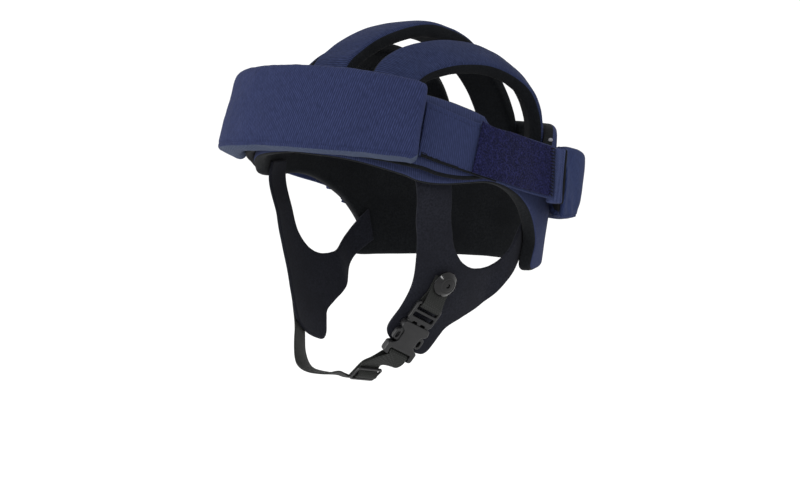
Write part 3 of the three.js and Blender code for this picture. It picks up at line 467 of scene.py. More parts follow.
def band_rings(stations, corners, counts, end_round, shape=None, gather=1.0):
    """Rings of a band that follows the oval form, with rounded ends."""
    first = stations[0]
    last = stations[-1]
    reach = band_radius(math.radians(last["angle"]), last["low"], last["outer"])
    degrees_per_mm = 180 / (math.pi * reach)

    def ring(row, inset, shift):
        pull = min(inset, 0.45 * (row["outer"] - row["inner"]))
        across0, across1 = row["inner"] + pull, row["outer"] - pull
        outline = section(across0, across1, row["low"] + inset, row["high"] - inset, corners, counts, gather)
        points = []
        for across, up, side, share in outline:
            if shape:
                across, up = shape(row, across, up, side, share)
            f = (up - row["low"]) / (row["high"] - row["low"])
            drop = row["undercut"] * (row["outer"] - across)
            behind = row.get("setback", 0) * (row["outer"] - across) / (row["outer"] - row["inner"])
            angle = row["angle"] + behind + shift * degrees_per_mm + row["slant"] * f
            points.append(band_point(angle, up - drop, across))
        return points

    turns = [math.radians(90 * i / END_STEPS) for i in range(END_STEPS)]
    clear = end_round * degrees_per_mm
    rings = []
    for a in turns:
        rings.append(ring(first, 0.75 * end_round * (1 - math.sin(a)), end_round * (1 - math.cos(a))))
    for row in stations:
        if first["angle"] + clear < row["angle"] < last["angle"] - clear:
            rings.append(ring(row, 0, 0))
    for a in reversed(turns):
        rings.append(ring(last, 0.75 * end_round * (1 - math.sin(a)), -end_round * (1 - math.cos(a))))
    return rings


def sides_of(counts):
    """Side and share of each point of a section with these counts."""
    return [(side, share) for _, _, side, share in section(0, 10, 0, 10, (1, 1, 1, 1), counts)]


def mirror(rings):
    """Rings of the wearer's left side carried over to the right."""
    return [[point * FLIP for point in ring] for ring in rings]


def add_caps(rings):
    """Carries both ends of a row of rings in to their middles."""
    capped = list(rings)
    for end in (0, -1):
        edge = rings[end]
        middle = sum(edge, Vector()) / len(edge)
        for i in range(1, CAP_STEPS + 1):
            shrunk = [point.lerp(middle, i / (CAP_STEPS + 0.05)) for point in edge]
            if end == 0:
                capped.insert(0, shrunk)
            else:
                capped.append(shrunk)
    return capped


def skin(name, rings, materials, strip_materials, loop=False, end_material=None):
    """Closed mesh over rings of points in millimetres, with a UV map in metres."""
    if not loop:
        rings = add_caps(rings)
    grid = np.array([[tuple(point) for point in ring] for ring in rings]) * MM
    count, size = grid.shape[:2]
    spans = count if loop else count - 1
    steps = np.linalg.norm(np.roll(grid, -1, axis=0) - grid, axis=2)
    reference = CORNER_STEPS + 1
    u = np.concatenate([[0], np.cumsum(steps[:, reference])])
    around = np.linalg.norm(np.roll(grid, -1, axis=1) - grid, axis=2)
    v = np.concatenate([np.zeros((count, 1)), np.cumsum(around, axis=1)], axis=1) + grid[:, :1, 2]
    i = np.repeat(np.arange(spans), size)
    j = np.tile(np.arange(size), spans)
    following = (i + 1) % count
    beside = (j + 1) % size
    quads = np.stack([i * size + j, following * size + j, following * size + beside, i * size + beside], 1)
    uv = np.stack(
        [
            np.stack([u[i], v[i, j]], 1),
            np.stack([u[i + 1], v[following, j]], 1),
            np.stack([u[i + 1], v[following, j + 1]], 1),
            np.stack([u[i], v[i, j + 1]], 1),
        ],
        1,
    )
    faces = quads.tolist()
    corners = uv.reshape(-1, 2)
    indexes = np.array(strip_materials)[j]
    if end_material is not None:
        indexes[(i < CAP_STEPS) | (i >= spans - CAP_STEPS)] = end_material
    indexes = indexes.tolist()
    if not loop:
        for ring in (0, count - 1):
            faces.append([ring * size + k for k in range(size)])
            corners = np.concatenate([corners, np.stack([np.full(size, u[ring]), v[ring, :size]], 1)])
            indexes.append(strip_materials[0] if end_material is None else end_material)
    mesh = bpy.data.meshes.new(name)
    mesh.from_pydata(grid.reshape(-1, 3).tolist(), [], faces)
    layer = mesh.uv_layers.new(name="cloth")
    layer.data.foreach_set("uv", corners.ravel().astype(np.float32))
    for material in materials:
        mesh.materials.append(material)
    mesh.polygons.foreach_set("material_index", indexes)
    return place_mesh(name, mesh)


def place_mesh(name, mesh, sharp_deg=None):
    """Object for a mesh, with faces turned outwards and smooth shading."""
    edit = bmesh.new()
    edit.from_mesh(mesh)
    bmesh.ops.recalc_face_normals(edit, faces=edit.faces)
    edit.to_mesh(mesh)
    edit.free()
    mesh.shade_smooth()
    if sharp_deg:
        mesh.set_sharp_from_angle(angle=math.radians(sharp_deg))
    piece = bpy.data.objects.new(name, mesh)
    bpy.context.scene.collection.objects.link(piece)
    return piece


def ruffle(piece, depth, pitch, seed, stretch=(1, 1, 1)):
    """Moves each point along its normal by soft noise, as stuffed cloth puckers."""
    normals = [vertex.normal.copy() for vertex in piece.data.vertices]
    for vertex, normal in zip(piece.data.vertices, normals):
        place = Vector(vertex.co[k] * stretch[k] / pitch for k in range(3))
        vertex.co += normal * depth * noise.noise(place + Vector((seed, 2 * seed, 3 * seed)))


def spaced(count, step):
    """Indexes from nought to the last, about a step apart."""
    return np.unique(np.linspace(0, count - 1, (count - 1) // step + 1).round().astype(int))


def softened(values, axis, step, loop):
    """Running mean over about a step, so that a coarse net leaves no facets."""
    mode = "wrap" if loop else "edge"
    widths = [(step, step) if k == axis else (0, 0) for k in range(values.ndim)]
    padded = np.pad(values, widths, mode=mode)
    count = values.shape[axis]
    windows = [np.take(padded, range(k, k + count), axis=axis) for k in range(2 * step + 1)]
    return sum(windows) / len(windows)


def blown_out(net, held, slack):
    """Points of a net of cloth after the pressure of its padding, in a short cloth simulation."""
    count, size = net.shape[:2]
    faces = []
    for i in range(count - 1):
        for j in range(size):
            k = (j + 1) % size
            faces.append((i * size + j, (i + 1) * size + j, (i + 1) * size + k, i * size + k))
    mesh = bpy.data.meshes.new("cloth_net")
    mesh.from_pydata(net.reshape(-1, 3).tolist(), [], faces)
    piece = place_mesh("cloth_net", mesh)
    group = piece.vertex_groups.new(name="held")
    group.add([int(k) for k in np.flatnonzero(held)], 1, "REPLACE")
    modifier = piece.modifiers.new("cloth", "CLOTH")
    cloth = modifier.settings
    cloth.vertex_group_mass = "held"
    cloth.mass = 0.02
    cloth.air_damping = 4
    cloth.tension_stiffness = 12
    cloth.compression_stiffness = 12
    cloth.bending_stiffness = 0.4
    cloth.shrink_min = -slack
    cloth.use_pressure = True
    cloth.uniform_pressure_force = CLOTH_PRESSURE
    cloth.effector_weights.gravity = 0
    modifier.collision_settings.use_collision = False
    modifier.point_cache.frame_end = CLOTH_FRAMES
    scene = bpy.context.scene
    for step in range(1, CLOTH_FRAMES + 1):
        scene.frame_set(step)
    graph = bpy.context.evaluated_depsgraph_get()
    settled = piece.evaluated_get(graph).to_mesh()
    points = np.empty(3 * count * size, np.float32)
    settled.vertices.foreach_get("co", points)
    piece.evaluated_get(graph).to_mesh_clear()
    scene.frame_set(1)
    bpy.data.objects.remove(piece)
    bpy.data.meshes.remove(mesh)
    return points.reshape(net.shape).astype(float)


def stuffed(rings, sides, is_held, slack, limit):
    """Rings of a pad after its cloth has settled over the padding.

    The ends and the held sides stay put. Other points move by up to the limit in millimetres.
    """
    grid = np.array([[tuple(point) for point in ring] for ring in rings])
    count, size = grid.shape[:2]
    rows = spaced(count, NET_RING_STEP)
    places = np.arange(0, size, NET_POINT_STEP)
    net = grid[np.ix_(rows, places)] * MM
    held = np.zeros(net.shape[:2], bool)
    held[[0, -1], :] = True
    held[:, [is_held(*sides[k]) for k in places]] = True
    moved = (blown_out(net, held.ravel(), slack) - net) / MM
    length = np.linalg.norm(moved, axis=2, keepdims=True)
    moved *= np.minimum(1, limit / np.maximum(length, 1e-6))
    around = np.array([
        [np.interp(np.arange(size), places, row[:, k], period=size) for k in range(3)] for row in moved
    ])
    fine = np.array([
        [np.interp(np.arange(count), rows, around[:, k, j]) for k in range(3)] for j in range(size)
    ]).transpose(2, 0, 1)
    fine = softened(softened(fine, 0, NET_RING_STEP, False), 1, NET_POINT_STEP, True)
    return [[Vector(point) for point in ring] for ring in grid + fine]


def settle(piece, slot, *nodes):
    """Fixes a finished piece to the frame, in place of its plain solids."""
    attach(piece, "root")
    if nodes:
        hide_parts(*nodes)
    return piece


def sew(name, routes, stitch, gap, width, material):
    """Rows of short raised stitches along routes of (point, normal) pairs in millimetres."""
    vertices = []
    faces = []
    sides = 6
    rounds = 5
    for route in routes:
        lengths = [0]
        for before, after in zip(route, route[1:]):
            lengths.append(lengths[-1] + (after[0] - before[0]).length)
        start = gap / 2
        while start + stitch <= lengths[-1]:
            base = len(vertices)
            for k in range(rounds):
                f = k / (rounds - 1)
                point, normal, along = place_on(route, lengths, start + stitch * f)
                aside = along.cross(normal).normalized()
                bow = math.sin(math.pi * (0.08 + 0.84 * f))
                centre = point + normal * (0.55 * width * bow - 0.25 * width)
                for s in range(sides):
                    a = 2 * math.pi * s / sides
                    thick = 0.5 * width * (0.35 + 0.65 * bow)
                    vertices.append((centre + (aside * math.cos(a) + normal * math.sin(a)) * thick) * MM)
            for k in range(rounds - 1):
                for s in range(sides):
                    t = (s + 1) % sides
                    faces.append((base + k * sides + s, base + (k + 1) * sides + s,
                                  base + (k + 1) * sides + t, base + k * sides + t))
            faces.append(tuple(base + s for s in range(sides)))
            faces.append(tuple(base + (rounds - 1) * sides + s for s in range(sides)))
            start += stitch + gap
    mesh = bpy.data.meshes.new(name)
    mesh.from_pydata(vertices, [], faces)
    mesh.materials.append(material)
    return place_mesh(name, mesh)


def place_on(route, lengths, place):
    """Point, normal and direction at a length along a route."""
    i = 1
    while i < len(lengths) - 1 and lengths[i] < place:
        i += 1
    span = max(lengths[i] - lengths[i - 1], 1e-6)
    f = min(max((place - lengths[i - 1]) / span, 0), 1)
    point = route[i - 1][0].lerp(route[i][0], f)
    normal = route[i - 1][1].lerp(route[i][1], f).normalized()
    return point, normal, (route[i][0] - route[i - 1][0]).normalized()


# Materials


class Finish:
    """One material, with short calls for its texture nodes."""

    def __init__(self, name, roughness, shine=0.1, sheen=0.0):
        self.material = bpy.data.materials.new(name)
        self.material.use_nodes = True
        tree = self.material.node_tree
        self.nodes = tree.nodes
        self.links = tree.links
        self.surface = self.nodes["Principled BSDF"]
        self.surface.inputs["Roughness"].default_value = roughness
        self.surface.inputs["Specular IOR Level"].default_value = shine
        self.surface.inputs["Sheen Weight"].default_value = sheen
        self.surface.inputs["Sheen Roughness"].default_value = 0.5
        self.coordinates = self.nodes.new("ShaderNodeTexCoord")

    def mapped(self, source, turn_deg=0.0, scale=(1, 1, 1)):
        node = self.nodes.new("ShaderNodeMapping")
        node.inputs["Rotation"].default_value = (0, 0, math.radians(turn_deg))
        node.inputs["Scale"].default_value = scale
        self.links.new(self.coordinates.outputs[source], node.inputs["Vector"])
        return node.outputs["Vector"]

    def ribs(self, vector, pitch, waver=0.0):
        node = self.nodes.new("ShaderNodeTexWave")
        node.inputs["Scale"].default_value = math.pi / 10 / pitch
        node.inputs["Distortion"].default_value = waver
        node.inputs["Detail"].default_value = 1
        node.inputs["Detail Scale"].default_value = 0.4
        self.links.new(vector, node.inputs["Vector"])
        return node.outputs["Fac"]

    def grain(self, vector, pitch, detail=3.0):
        node = self.nodes.new("ShaderNodeTexNoise")
        node.inputs["Scale"].default_value = 1 / pitch
        node.inputs["Detail"].default_value = detail
        self.links.new(vector, node.inputs["Vector"])
        return node.outputs["Fac"]

    def spread(self, factor, low, high):
        """Stretches the middle of a texture to the whole range from nought to one."""
        node = self.nodes.new("ShaderNodeMapRange")
        node.inputs["From Min"].default_value = low
        node.inputs["From Max"].default_value = high
        self.links.new(factor, node.inputs["Value"])
        return node.outputs["Result"]

    def times(self, first, second):
        node = self.nodes.new("ShaderNodeMath")
        node.operation = "MULTIPLY"
        self.links.new(first, node.inputs[0])
        self.links.new(second, node.inputs[1])
        return node.outputs["Value"]

    def blend(self, factor, first, second):
        """Colour between two others; either may be a colour or a socket."""
        node = self.nodes.new("ShaderNodeMix")
        node.data_type = "RGBA"
        self.links.new(factor, node.inputs["Factor"])
        colours = [socket for socket in node.inputs if socket.type == "RGBA"]
        for socket, colour in zip(colours, (first, second)):
            if isinstance(colour, bpy.types.NodeSocket):
                self.links.new(colour, socket)
            else:
                socket.default_value = (*colour, 1)
        return [socket for socket in node.outputs if socket.type == "RGBA"][0]

    def colour(self, socket):
        self.links.new(socket, self.surface.inputs["Base Color"])

    def rough(self, factor, low, high):
        node = self.nodes.new("ShaderNodeMapRange")
        node.inputs["To Min"].default_value = low
        node.inputs["To Max"].default_value = high
        self.links.new(factor, node.inputs["Value"])
        self.links.new(node.outputs["Result"], self.surface.inputs["Roughness"])

    def raise_by(self, factor, height, strength=0.6):
        """Adds a bump of this height in metres, on top of any bump added before."""
        node = self.nodes.new("ShaderNodeBump")
        node.inputs["Distance"].default_value = height
        node.inputs["Strength"].default_value = strength
        self.links.new(factor, node.inputs["Height"])
        target = self.surface.inputs["Normal"]
        if target.links:
            self.links.new(target.links[0].from_socket, node.inputs["Normal"])
        self.links.new(node.outputs["Normal"], target)


def tint(colour, share):
    """Darker or lighter version of a colour."""
    return tuple(min(value * share, 1) for value in colour)


def ribbed_cloth(name, colour, pitch, turn_deg, contrast):
    """Twill or ribbed cloth, whose ribs lean over."""
    finish = Finish(name, 0.85, 0.03, 0.01)
    ribs = finish.ribs(finish.mapped("UV", turn_deg), pitch, 1.6)
    tone = finish.spread(finish.grain(finish.mapped("Object"), 0.03), 0.3, 0.7)
    thread = finish.grain(finish.mapped("UV", turn_deg, (1, 0.25, 1)), pitch * 0.7)
    dark = finish.blend(thread, tint(colour, 1 - contrast), tint(colour, 1 - 0.3 * contrast))
    light = finish.blend(tone, tint(colour, 1 + 0.9 * contrast), tint(colour, 1 + 1.7 * contrast))
    broken = finish.times(ribs, finish.spread(thread, 0.2, 0.62))
    finish.colour(finish.blend(broken, dark, light))
    finish.raise_by(broken, 0.00022)
    return finish.material


def brushed_cloth(name, colour, pitch, relief, shine):
    """Plain matte cloth with a short nap, such as lining or neoprene facing."""
    finish = Finish(name, 0.9, shine, 0.02)
    nap = finish.grain(finish.mapped("Object"), pitch, 4)
    tone = finish.spread(finish.grain(finish.mapped("Object"), 0.02), 0.3, 0.7)
    shade = finish.blend(tone, tint(colour, 0.85), tint(colour, 1.25))
    finish.colour(finish.blend(finish.spread(nap, 0.38, 0.62), tint(colour, 0.7), shade))
    finish.raise_by(nap, relief)
    return finish.material


def pile_cloth(name, colour, edge_colour):
    """Loop pile of a hook-and-loop fastening."""
    finish = Finish(name, 0.95, 0.06, 0.04)
    tufts = finish.spread(finish.grain(finish.mapped("Object"), 0.0011, 4), 0.36, 0.64)
    clumps = finish.spread(finish.grain(finish.mapped("Object"), 0.005, 2), 0.32, 0.68)
    base = finish.blend(clumps, tint(colour, 0.7), tint(colour, 1.25))
    tips = finish.blend(clumps, tint(edge_colour, 0.9), tint(edge_colour, 1.42))
    finish.colour(finish.blend(tufts, tint(colour, 0.48), finish.blend(tufts, base, tips)))
    finish.raise_by(tufts, 0.0005)
    return finish.material


def woven_webbing(name, colour, pitch):
    """Narrow woven strap with ribs along it and weft across it."""
    finish = Finish(name, 0.7, 0.2)
    along = finish.ribs(finish.mapped("UV", 90), pitch * 1.6, 0.2)
    across = finish.ribs(finish.mapped("UV", 0), pitch, 0.2)
    weave = finish.times(along, across)
    thread = finish.grain(finish.mapped("UV"), pitch * 0.4)
    light = finish.blend(thread, tint(colour, 1.0), tint(colour, 1.5))
    finish.colour(finish.blend(weave, tint(colour, 0.55), light))
    finish.raise_by(weave, 0.0004)
    return finish.material


def moulded_plastic(name, colour, low, high, shine):
    """Smooth moulded plastic with a faint grain."""
    finish = Finish(name, low, shine)
    grain = finish.grain(finish.mapped("Object"), 0.0007, 3)
    wear = finish.spread(finish.grain(finish.mapped("Object"), 0.006), 0.35, 0.65)
    finish.colour(finish.blend(wear, tint(colour, 0.88), tint(colour, 1.12)))
    finish.rough(wear, low, high)
    finish.raise_by(grain, 0.00004, 0.5)
    return finish.material


# Properties that a user would change


def colour_property(name, description, default):
    return bpy.props.FloatVectorProperty(
        name=name, description=description, default=default, subtype="COLOR", size=3, min=0, max=1
    )


def length_property(name, description, default, low, high):
    return bpy.props.FloatProperty(
        name=name, description=description, default=default, unit="LENGTH", subtype="DISTANCE",
        min=low, max=high, precision=5
    )


class HelmetColours(bpy.types.PropertyGroup):
    """Colours of the cloth, webbing and plastic."""

    twill: colour_property("Bumper twill", "Ribbed navy cloth of the front bumper", (0.0213, 0.0275, 0.0707))
    # The underside is the twill with its ribs turned, made lighter and greyer as painted bounce light and
    # sheen from below
    underside: colour_property("Bumper underside", "Greyer cloth under the bumper", (0.0448, 0.0568, 0.0944))
    cloth: colour_property("Strap cloth", "Navy cloth of the side straps", (0.0210, 0.0273, 0.0680))
    band: colour_property("Band cloth", "Navy cloth of the headband and flaps", (0.0244, 0.0310, 0.0722))
    arch: colour_property("Arch cloth", "Navy cloth of the crown arches", (0.0176, 0.0235, 0.0576))
    # The rear twill is the front bumper's cloth made darker: painted shade on the rear bumper
    rear: colour_property("Rear twill", "Ribbed navy cloth of the rear bumper", (0.0172, 0.0252, 0.0685))
    roll: colour_property("Strap roll", "Cloth of the rolled strap ends", (0.0330, 0.0420, 0.0950))
    pile: colour_property("Loop pile", "Hook-and-loop pile of the side patches", (0.0062, 0.0072, 0.0360))
    pile_edge: colour_property("Pile tips", "Lighter tips of the pile loops", (0.0101, 0.0110, 0.0480))
    # Lighter copy of the black lining: painted light to offset the shade inside the headband
    inside: colour_property("Headband lining", "Black cloth inside the headband", (0.0105, 0.0115, 0.0130))
    # The lining colour also paints shade: the rear bumper ends, the strap wedges, the roll crevices and the
    # front band's lower edge
    lining: colour_property("Lining", "Black lining inside the bands", (0.0067, 0.0075, 0.0090))
    neoprene: colour_property("Neoprene", "Black sheet of the ear yokes", (0.0105, 0.0112, 0.0160))
    webbing: colour_property("Webbing", "Woven chin strap and buckle tab", (0.0203, 0.0216, 0.0203))
    plastic: colour_property("Plastic", "Buckle and slider", (0.0090, 0.0090, 0.0098))
    button: colour_property("Button", "Glossy press buttons on the yokes", (0.0035, 0.0035, 0.004))
    rivet: colour_property("Rivet", "Small pale rivets at the nape", (0.19, 0.19, 0.22))
    thread: colour_property("Thread", "Navy sewing thread", (0.026, 0.033, 0.080))
    dark_thread: colour_property("Dark thread", "Black sewing thread", (0.006, 0.006, 0.008))


class HelmetSizes(bpy.types.PropertyGroup):
    """Sizes of the surface details."""

    rib_pitch: length_property("Rib pitch", "Distance between the ribs of the twill", 0.00145, 0.0005, 0.005)
    weave_pitch: length_property("Weave pitch", "Distance between webbing threads", 0.0011, 0.0005, 0.005)
    stitch: length_property("Stitch", "Length of one stitch", 0.0026, 0.001, 0.01)
    stitch_gap: length_property("Stitch gap", "Gap between two stitches", 0.0009, 0.0003, 0.005)
    stitch_width: length_property("Thread width", "Thickness of the sewing thread", 0.0005, 0.0002, 0.002)
    pucker: length_property("Pucker", "Depth of the soft unevenness of the padding", 0.0008, 0, 0.003)
    floor_drop: length_property("Floor", "Height of the floor below the headband", 0.32, 0.16, 2)


def look():
    return bpy.context.scene.helmet_colours


def sizes():
    return bpy.context.scene.helmet_sizes


def shared(name, make):
    """A material made once and used by several pieces."""
    return bpy.data.materials.get(name) or make(name)


def navy_cloth(name, colour, turn_deg, contrast):
    return shared(name, lambda name: ribbed_cloth(name, colour, sizes().rib_pitch, turn_deg, contrast))


def napped_cloth(name, colour, pitch, relief, shine=0.04):
    return shared(name, lambda name: brushed_cloth(name, colour, pitch, relief, shine))


def sewing_thread(name, colour):
    return napped_cloth(name, colour, 0.0004, 0.0001)


def plastic(name, colour, low, high, shine):
    return shared(name, lambda name: moulded_plastic(name, colour, low, high, shine))


def bumper_twill():
    return navy_cloth("Navy twill", look().twill, 13, 0.42)


def band_cloth():
    return navy_cloth("Navy band cloth", look().band, 6, 0.3)


# Black lining cloth, also used as painted shade in gaps and hollows
def lining_and_shade_cloth():
    return napped_cloth("Black lining", look().lining, 0.0012, 0.0003)


def webbing_weave():
    return shared("Black webbing", lambda name: woven_webbing(name, look().webbing, sizes().weave_pitch))


def black_plastic():
    return plastic("Black plastic", look().plastic, 0.28, 0.42, 0.32)


# Padded bands


def pad_shape(seam, end_rise):
    """Softens the section of a foam pad and marks the seam along its lower front edge.

    The inner lower edge rises towards the wearer's left end of the pad.
    """

    def shape(row, across, up, side, share):
        middle = 0.5 * (row["low"] + row["high"])
        f = (up - middle) / (0.5 * (row["high"] - row["low"]))
        depth = (across - row["inner"]) / (row["outer"] - row["inner"])
        across -= depth * (PAD_SLIM + 1.1 * f**4)
        if side == FACE:
            above = up - row["low"]
            across += seam * math.exp(-(((above - 1) / 0.7) ** 2))
            across -= 2 * seam * math.exp(-(((above - 2.6) / 0.6) ** 2))
        rise = end_rise * max(row["angle"] / BUMPER_ROWS[-1]["angle"], 0) ** 2
        up += rise * (1 - depth) * max(0, 1 - (up - row["low"]) / 20)
        return across, up

    return shape


def held_by_seams(side, share):
    """Whether a point of a pad lies on its inner face or on the seam of its lower front edge."""
    return side == INNER and share >= 0 or side == FACE and share < 0.02


def pad(name, stations, materials, seam, slack, end_rise):
    """Foam pad under cloth, with a rounded upper edge and a sewn lower edge.

    The materials are for the face, the underside and the flat of each end.
    """
    counts = (40, 12, 10, 12)
    sides = sides_of(counts)
    shape = pad_shape(seam, end_rise)
    rings = band_rings(stations, BUMPER_CORNERS, counts, BUMPER_END_ROUND, shape, FACE_GATHER)
    rings = stuffed(rings, sides, held_by_seams, slack, PAD_SWELL)
    strips = [1 if side == LOWER or side == FACE and share < -0.6 else 0 for side, share in sides]
    return skin(name, rings, materials, strips, end_material=2)


class HELMET_OT_front_bumper(bpy.types.Operator):
    """Foam bumper across the front, in ribbed navy cloth."""

    bl_idname = "helmet.front_bumper"
    bl_label = "Front bumper"

    def execute(self, context):
        # The turned ribs are the cloth's own; the lighter, greyer tone is painted bounce light and sheen
        under = navy_cloth("Bumper underside", look().underside, 70, 0.2)
        stations = curve_through(both_halves(BUMPER_ROWS), 131)
        materials = (bumper_twill(), under, bumper_twill())
        piece = pad("front_bumper_pad", stations, materials, FRONT_SEAM, FRONT_SLACK, FRONT_END_RISE)
        ruffle(piece, 0.7 * sizes().pucker, 0.016, 3.1)
        ruffle(piece, 0.3 * sizes().pucker, 0.005, 7.3)
        settle(piece, "navy_twill", "front_bumper")
        return {"FINISHED"}


class HELMET_OT_rear_bumper(bpy.types.Operator):
    """Foam bumper round the back, in ribbed navy cloth."""

    bl_idname = "helmet.rear_bumper"
    bl_label = "Rear bumper"

    def execute(self, context):
        stations = curve_through(around_the_back(REAR_BUMPER_ROWS), 151)
        # The rear twill colour is the bumper twill darkened as painted shade
        twill = navy_cloth("Rear navy twill", look().rear, 13, 0.42)
        # The flat of each end is black lining cloth: painted shade in the hollow behind the rolled strap end
        materials = (twill, twill, lining_and_shade_cloth())
        piece = pad("rear_bumper_pad", stations, materials, REAR_SEAM, REAR_SLACK, 0)
        ruffle(piece, 0.5 * sizes().pucker, 0.014, 5.7, (1, 1, 0.35))
        settle(piece, "navy_twill", "rear_bumper")
        return {"FINISHED"}


def lined_strips(counts, margin=-0.5, rim=-0.5):
    """Cloth on the outer face from its margin to a rim on the upper edge, lining on the rest.

    Both are shares of a side, so minus a half is half-way round a corner.
    """
    strips = []
    for side, share in sides_of(counts):
        outside = side == FACE and share >= margin or side == UPPER and share < rim
        strips.append(0 if outside else 1)
    return strips


def hem_shape(reach, depth):
    """Shallow sewn groove a short way in from the upper edge of the outer face."""

    def shape(row, across, up, side, share):
        if side == FACE:
            across -= depth * math.exp(-(((row["high"] - up - reach) / 0.7) ** 2))
        return across, up

    return shape


class HELMET_OT_front_band(bpy.types.Operator):
    """Padded band behind the front bumper, with a rounded flap on each side."""

    bl_idname = "helmet.front_band"
    bl_label = "Front band"

    def execute(self, context):
        counts = (30, 4, 16, 4)
        stations = curve_through(both_halves(FRONT_BAND_ROWS), 161)
        hem = hem_shape(FLAP_HEM, FLAP_HEM_DEPTH)
        rings = band_rings(stations, 4 * (BAND_CORNER,), counts, FLAP_END_ROUND, hem, FACE_GATHER)
        # The black lining on the lowest strip of the outer face is painted shadow along the band's lower
        # edge
        strips = lined_strips(counts, margin=BAND_SHADE_MARGIN)
        piece = skin("front_band_padding", rings, (band_cloth(), lining_and_shade_cloth()), strips)
        ruffle(piece, 0.25 * sizes().pucker, 0.012, 1.9)
        settle(piece, "navy_cloth", "front_band")
        return {"FINISHED"}


class HELMET_OT_base_shell(bpy.types.Operator):
    """Padded headband all round, with its ear arches and deep nape."""

    bl_idname = "helmet.base_shell"
    bl_label = "Headband and nape"

    def execute(self, context):
        counts = (34, 5, 34, 5)
        rings = []
        for row in curve_through(around_the_back(SHELL_ROWS), 301)[:-1]:
            corners = 4 * (SHELL_CORNER,)
            outline = section(row["inner"], row["outer"], row["low"], row["high"], corners, counts)
            ring = []
            for across, up, _, _ in outline:
                hook = smoothstep(-up, -HOOK_TOP, -HOOK_BOTTOM)
                ring.append(band_point(row["angle"] - row["slant"] * hook, up, across))
            rings.append(ring)
        # This lining is the black lining made lighter, as painted light inside the shaded headband
        inside = napped_cloth("Headband lining", look().inside, 0.0012, 0.0003)
        materials = (band_cloth(), inside)
        piece = skin("headband_padding", rings, materials, lined_strips(counts, rim=0), loop=True)
        ruffle(piece, 0.25 * sizes().pucker, 0.015, 2.3)
        settle(piece, "navy_cloth", "base_shell")
        return {"FINISHED"}


# Crown arches


def arch_rings(rows, width, counts):
    """Rings of a padded strap over the crown, domed across its face."""
    stations = curve_through(rows, 8 * len(rows) + 1)
    points = [Vector((row["x"], row["y"], row["z"])) for row in stations]
    half = width / 2
    outline = section(-ARCH_THICKNESS, -ARCH_CROWN, -half, half, 4 * (ARCH_CORNER,), counts)
    rings = []
    for i, row in enumerate(stations):
        along = (points[min(i + 1, len(points) - 1)] - points[max(i - 1, 0)]).normalized()
        across = Vector((1, 0, 0))
        across = (across - along * across.dot(along)).normalized()
        out = across.cross(along).normalized()
        turn = math.radians(row["roll"])
        leaned = across * math.cos(turn) - out * math.sin(turn)
        out = out * math.cos(turn) + across * math.sin(turn)
        ring = []
        for rise, aside, side, share in outline:
            crowned = side == FACE or side == UPPER and share < 0
            dome = ARCH_CROWN * (1 - (aside / half) ** 2) if crowned else 0
            ring.append(points[i] + leaned * aside + out * (rise + dome))
        rings.append(ring)
    return rings


def held_by_lining(side, share):
    """Whether a point of an arch lies on its inner face or on either seam of its outer face."""
    return side == INNER or side == LOWER and share > 0.5 or side == UPPER and -0.3 < share < 0.2


class HELMET_OT_crown_arches(bpy.types.Operator):
    """Three padded straps over the crown, navy outside and black inside."""

    bl_idname = "helmet.crown_arches"
    bl_label = "Crown arches"

    def execute(self, context):
        counts = (20, 6, 14, 6)
        sides = sides_of(counts)
        arch_cloth = navy_cloth("Navy arch cloth", look().arch, 6, 0.5)

        def padded_arch(rows, width):
            rings = arch_rings(rows, width, counts)
            return stuffed(rings, sides, held_by_lining, ARCH_SLACK, ARCH_SWELL)

        side_rings = padded_arch(SIDE_ARCH_ROWS, SIDE_ARCH_WIDTH)
        arches = (
            ("middle", padded_arch(MIDDLE_ARCH_ROWS, MIDDLE_ARCH_WIDTH)),
            ("left", side_rings),
            ("right", mirror(side_rings)),
        )
        for seed, (place, rings) in enumerate(arches):
            materials = (arch_cloth, lining_and_shade_cloth())
            strips = lined_strips(counts, -1 if place == "middle" else -0.5)
            piece = skin(f"crown_arch_{place}_padding", rings, materials, strips)
            ruffle(piece, 0.4 * sizes().pucker, 0.013, 4.1 + seed)
            settle(piece, "navy_cloth", f"crown_arch_{place}")
        return {"FINISHED"}


# Side straps


def strap_row(angle):
    """Row of the side strap at an angle round the helmet."""
    rows = curve_through(SIDE_STRAP_ROWS, 241)
    for before, after in zip(rows, rows[1:]):
        if before["angle"] <= angle <= after["angle"]:
            f = (angle - before["angle"]) / (after["angle"] - before["angle"])
            return {key: before[key] + (after[key] - before[key]) * f for key in before}
    return rows[-1]


def patch_stations(count):
    """Rows of the pile patch, which lies on the strap and leans at both ends."""
    stations = []
    for i in range(count):
        f = i / (count - 1)
        angle = PATCH_START_ANGLE + (PATCH_END_ANGLE - PATCH_START_ANGLE) * f
        strap = strap_row(angle)
        stations.append({
            "angle": angle,
            "slant": PATCH_START_SLANT * (1 - f) ** 2 + PATCH_END_SLANT * f**4,
            "low": strap["low"] + PATCH_INSET,
            "high": strap["high"] - PATCH_INSET,
            "inner": strap["outer"] + PATCH_GAP,
            "outer": strap["outer"] + PATCH_GAP + PATCH_THICKNESS,
            "undercut": 0,
        })
    return stations


def on_band(row, f, lift):
    """Point and outward normal on the outer face of a band, at a share of its height."""
    z = row["low"] + (row["high"] - row["low"]) * f
    angle = row["angle"] + row["slant"] * f
    point = band_point(angle, z, row["outer"] + lift)
    aside = band_point(angle + 0.5, z, row["outer"] + lift) - point
    above = band_point(angle, z + 0.5, row["outer"] + lift) - point
    return point, aside.cross(above).normalized()


def mirror_route(route):
    """Route of the wearer's left side carried over to the right."""
    return [(point * FLIP, normal * FLIP) for point, normal in route]


